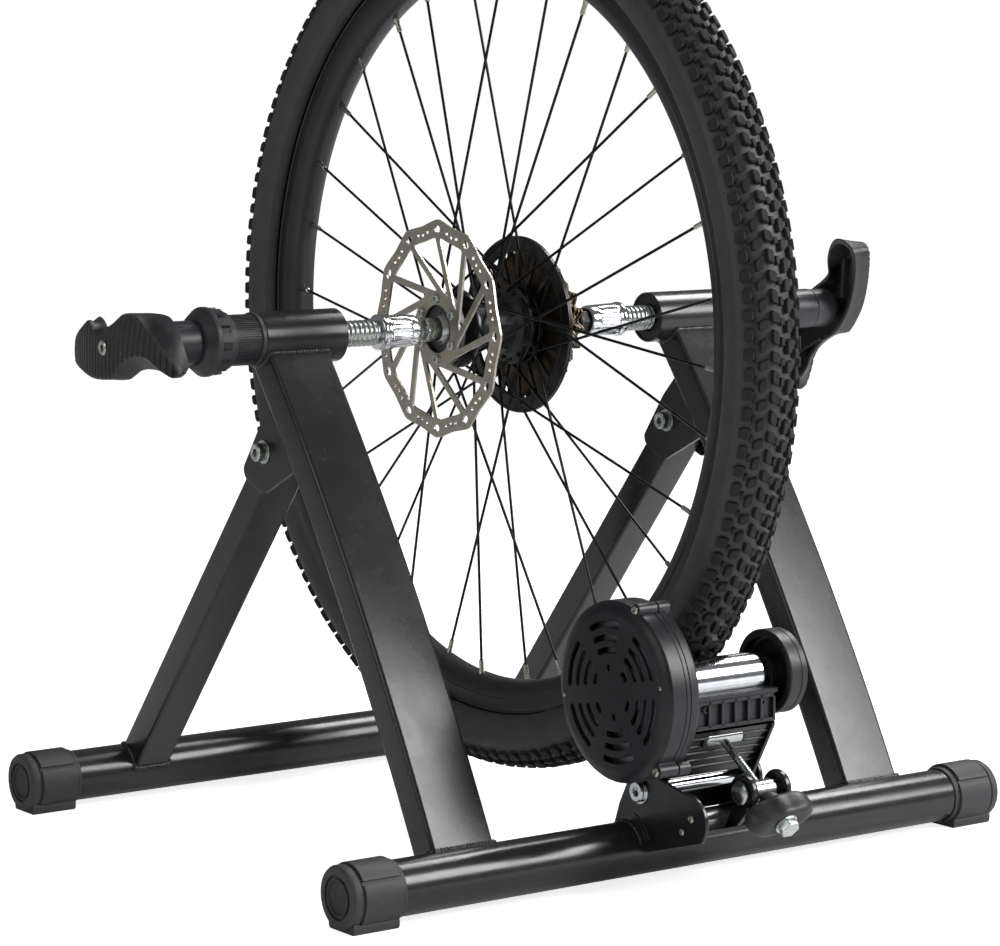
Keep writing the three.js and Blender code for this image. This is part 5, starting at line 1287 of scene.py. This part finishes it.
# Stage: pale floor, soft boxes and a camera where the photographer stood
studio = {"floorColour": "#e4e4e5", "floorHalf": 60, "worldStrength": 0.08, "glossyShare": 0.10,
          "floorLift": 0.82, "skyLight": 0.7, "skySpread": 80,
          "softBoxes": [((1.25, -1.7, 1.3), 1.0, 46), ((1.45, 0.25, 2.0), 0.8, 30),
                        ((-2.3, -0.3, 1.3), 1.2, 9)],
          "lens": 119.97, "azimuth": -35.56, "down": 6.81, "roll": -0.15,
          "eye": (-1.4235, -1.9962, 0.5514)}


def seenAsWhite(material):
    # the camera and clear things see plain white behind the object, polished metal a share of it
    path = addNode(material, "LightPath")
    shine = addNode(material, "Math", {"operation": "MULTIPLY"},
                    {0: path.outputs["Is Glossy Ray"], 1: studio["glossyShare"]})
    seen = addNode(material, "Math", {"operation": "MAXIMUM"},
                   {0: path.outputs["Is Camera Ray"], 1: shine.outputs[0]})
    return addNode(material, "Math", {"operation": "MAXIMUM"},
                   {0: seen.outputs[0], 1: path.outputs["Is Transmission Ray"]}).outputs[0]


world = bpy.data.worlds.new("studioWorld")
world.use_nodes = True
bpy.context.scene.world = world
world.node_tree.nodes.clear()
seen = seenAsWhite(world)
lit = addNode(world, "Background", inputs={"Color": linearColour("#eef1f5"),
                                           "Strength": studio["worldStrength"]})
plain = addNode(world, "Background", inputs={"Color": (1, 1, 1, 1), "Strength": 1})
mixed = addNode(world, "MixShader", inputs={0: seen, 1: lit.outputs[0], 2: plain.outputs[0]})
addNode(world, "OutputWorld", inputs={"Surface": mixed.outputs[0]})

floorMaterial = surface("studioFloor", (studio["floorColour"], "#e6e6e7"), patchMm=900,
                        roughness=(0.7, 0.8), grainMm=6, relief=0.01)
floorTree = floorMaterial.node_tree
floorShader = floorTree.nodes["Principled BSDF"]
lift = addNode(floorMaterial, "Math", {"operation": "MULTIPLY"},
               {0: seenAsWhite(floorMaterial), 1: studio["floorLift"]})
floorShader.inputs["Emission Color"].default_value = (1, 1, 1, 1)
floorTree.links.new(lift.outputs[0], floorShader.inputs["Emission Strength"])
floorHalf = studio["floorHalf"]
corners = [(x * floorHalf, y * floorHalf, 0) for x, y in ((-1, -1), (1, -1), (1, 1), (-1, 1))]
floorMesh = bpy.data.meshes.new("studioFloor")
floorMesh.from_pydata(corners, [], [[0, 1, 2, 3]])
floorMesh.materials.append(floorMaterial)
floor = bpy.data.objects.new("studioFloor", floorMesh)
bpy.context.collection.objects.link(floor)

aim = Vector((0, 0, 0.35))
for index, (place, size, power) in enumerate(studio["softBoxes"]):
    lamp = bpy.data.lights.new("softBox" + str(index), "AREA")
    lamp.size = size
    lamp.energy = power
    box = bpy.data.objects.new("softBox" + str(index), lamp)
    box.location = place
    box.rotation_euler = (aim - Vector(place)).to_track_quat("-Z", "Y").to_euler()
    bpy.context.collection.objects.link(box)

sky = bpy.data.lights.new("skyPanel", "SUN")
sky.energy = studio["skyLight"]
sky.angle = math.radians(studio["skySpread"])
skyPanel = bpy.data.objects.new("skyPanel", sky)
skyPanel.rotation_euler = (math.radians(12), math.radians(-10), 0)
skyPanel.visible_glossy = False
bpy.context.collection.objects.link(skyPanel)

lens = bpy.data.cameras.new("studioCamera")
lens.sensor_width = 36
lens.lens = studio["lens"]
lens.clip_start = 0.05
camera = bpy.data.objects.new("studioCamera", lens)
bpy.context.collection.objects.link(camera)
tilt = Matrix.Rotation(math.radians(90 - studio["down"]), 4, "X")
turnAbout = Matrix.Rotation(math.radians(studio["azimuth"]), 4, "Z")
camera.matrix_world = (Matrix.Translation(Vector(studio["eye"]) + drawnFrom) @ turnAbout @ tilt
                       @ Matrix.Rotation(math.radians(studio["roll"]), 4, "Z"))
bpy.context.scene.camera = camera
bpy.context.scene.view_settings.view_transform = "Standard"
print("stage ready")
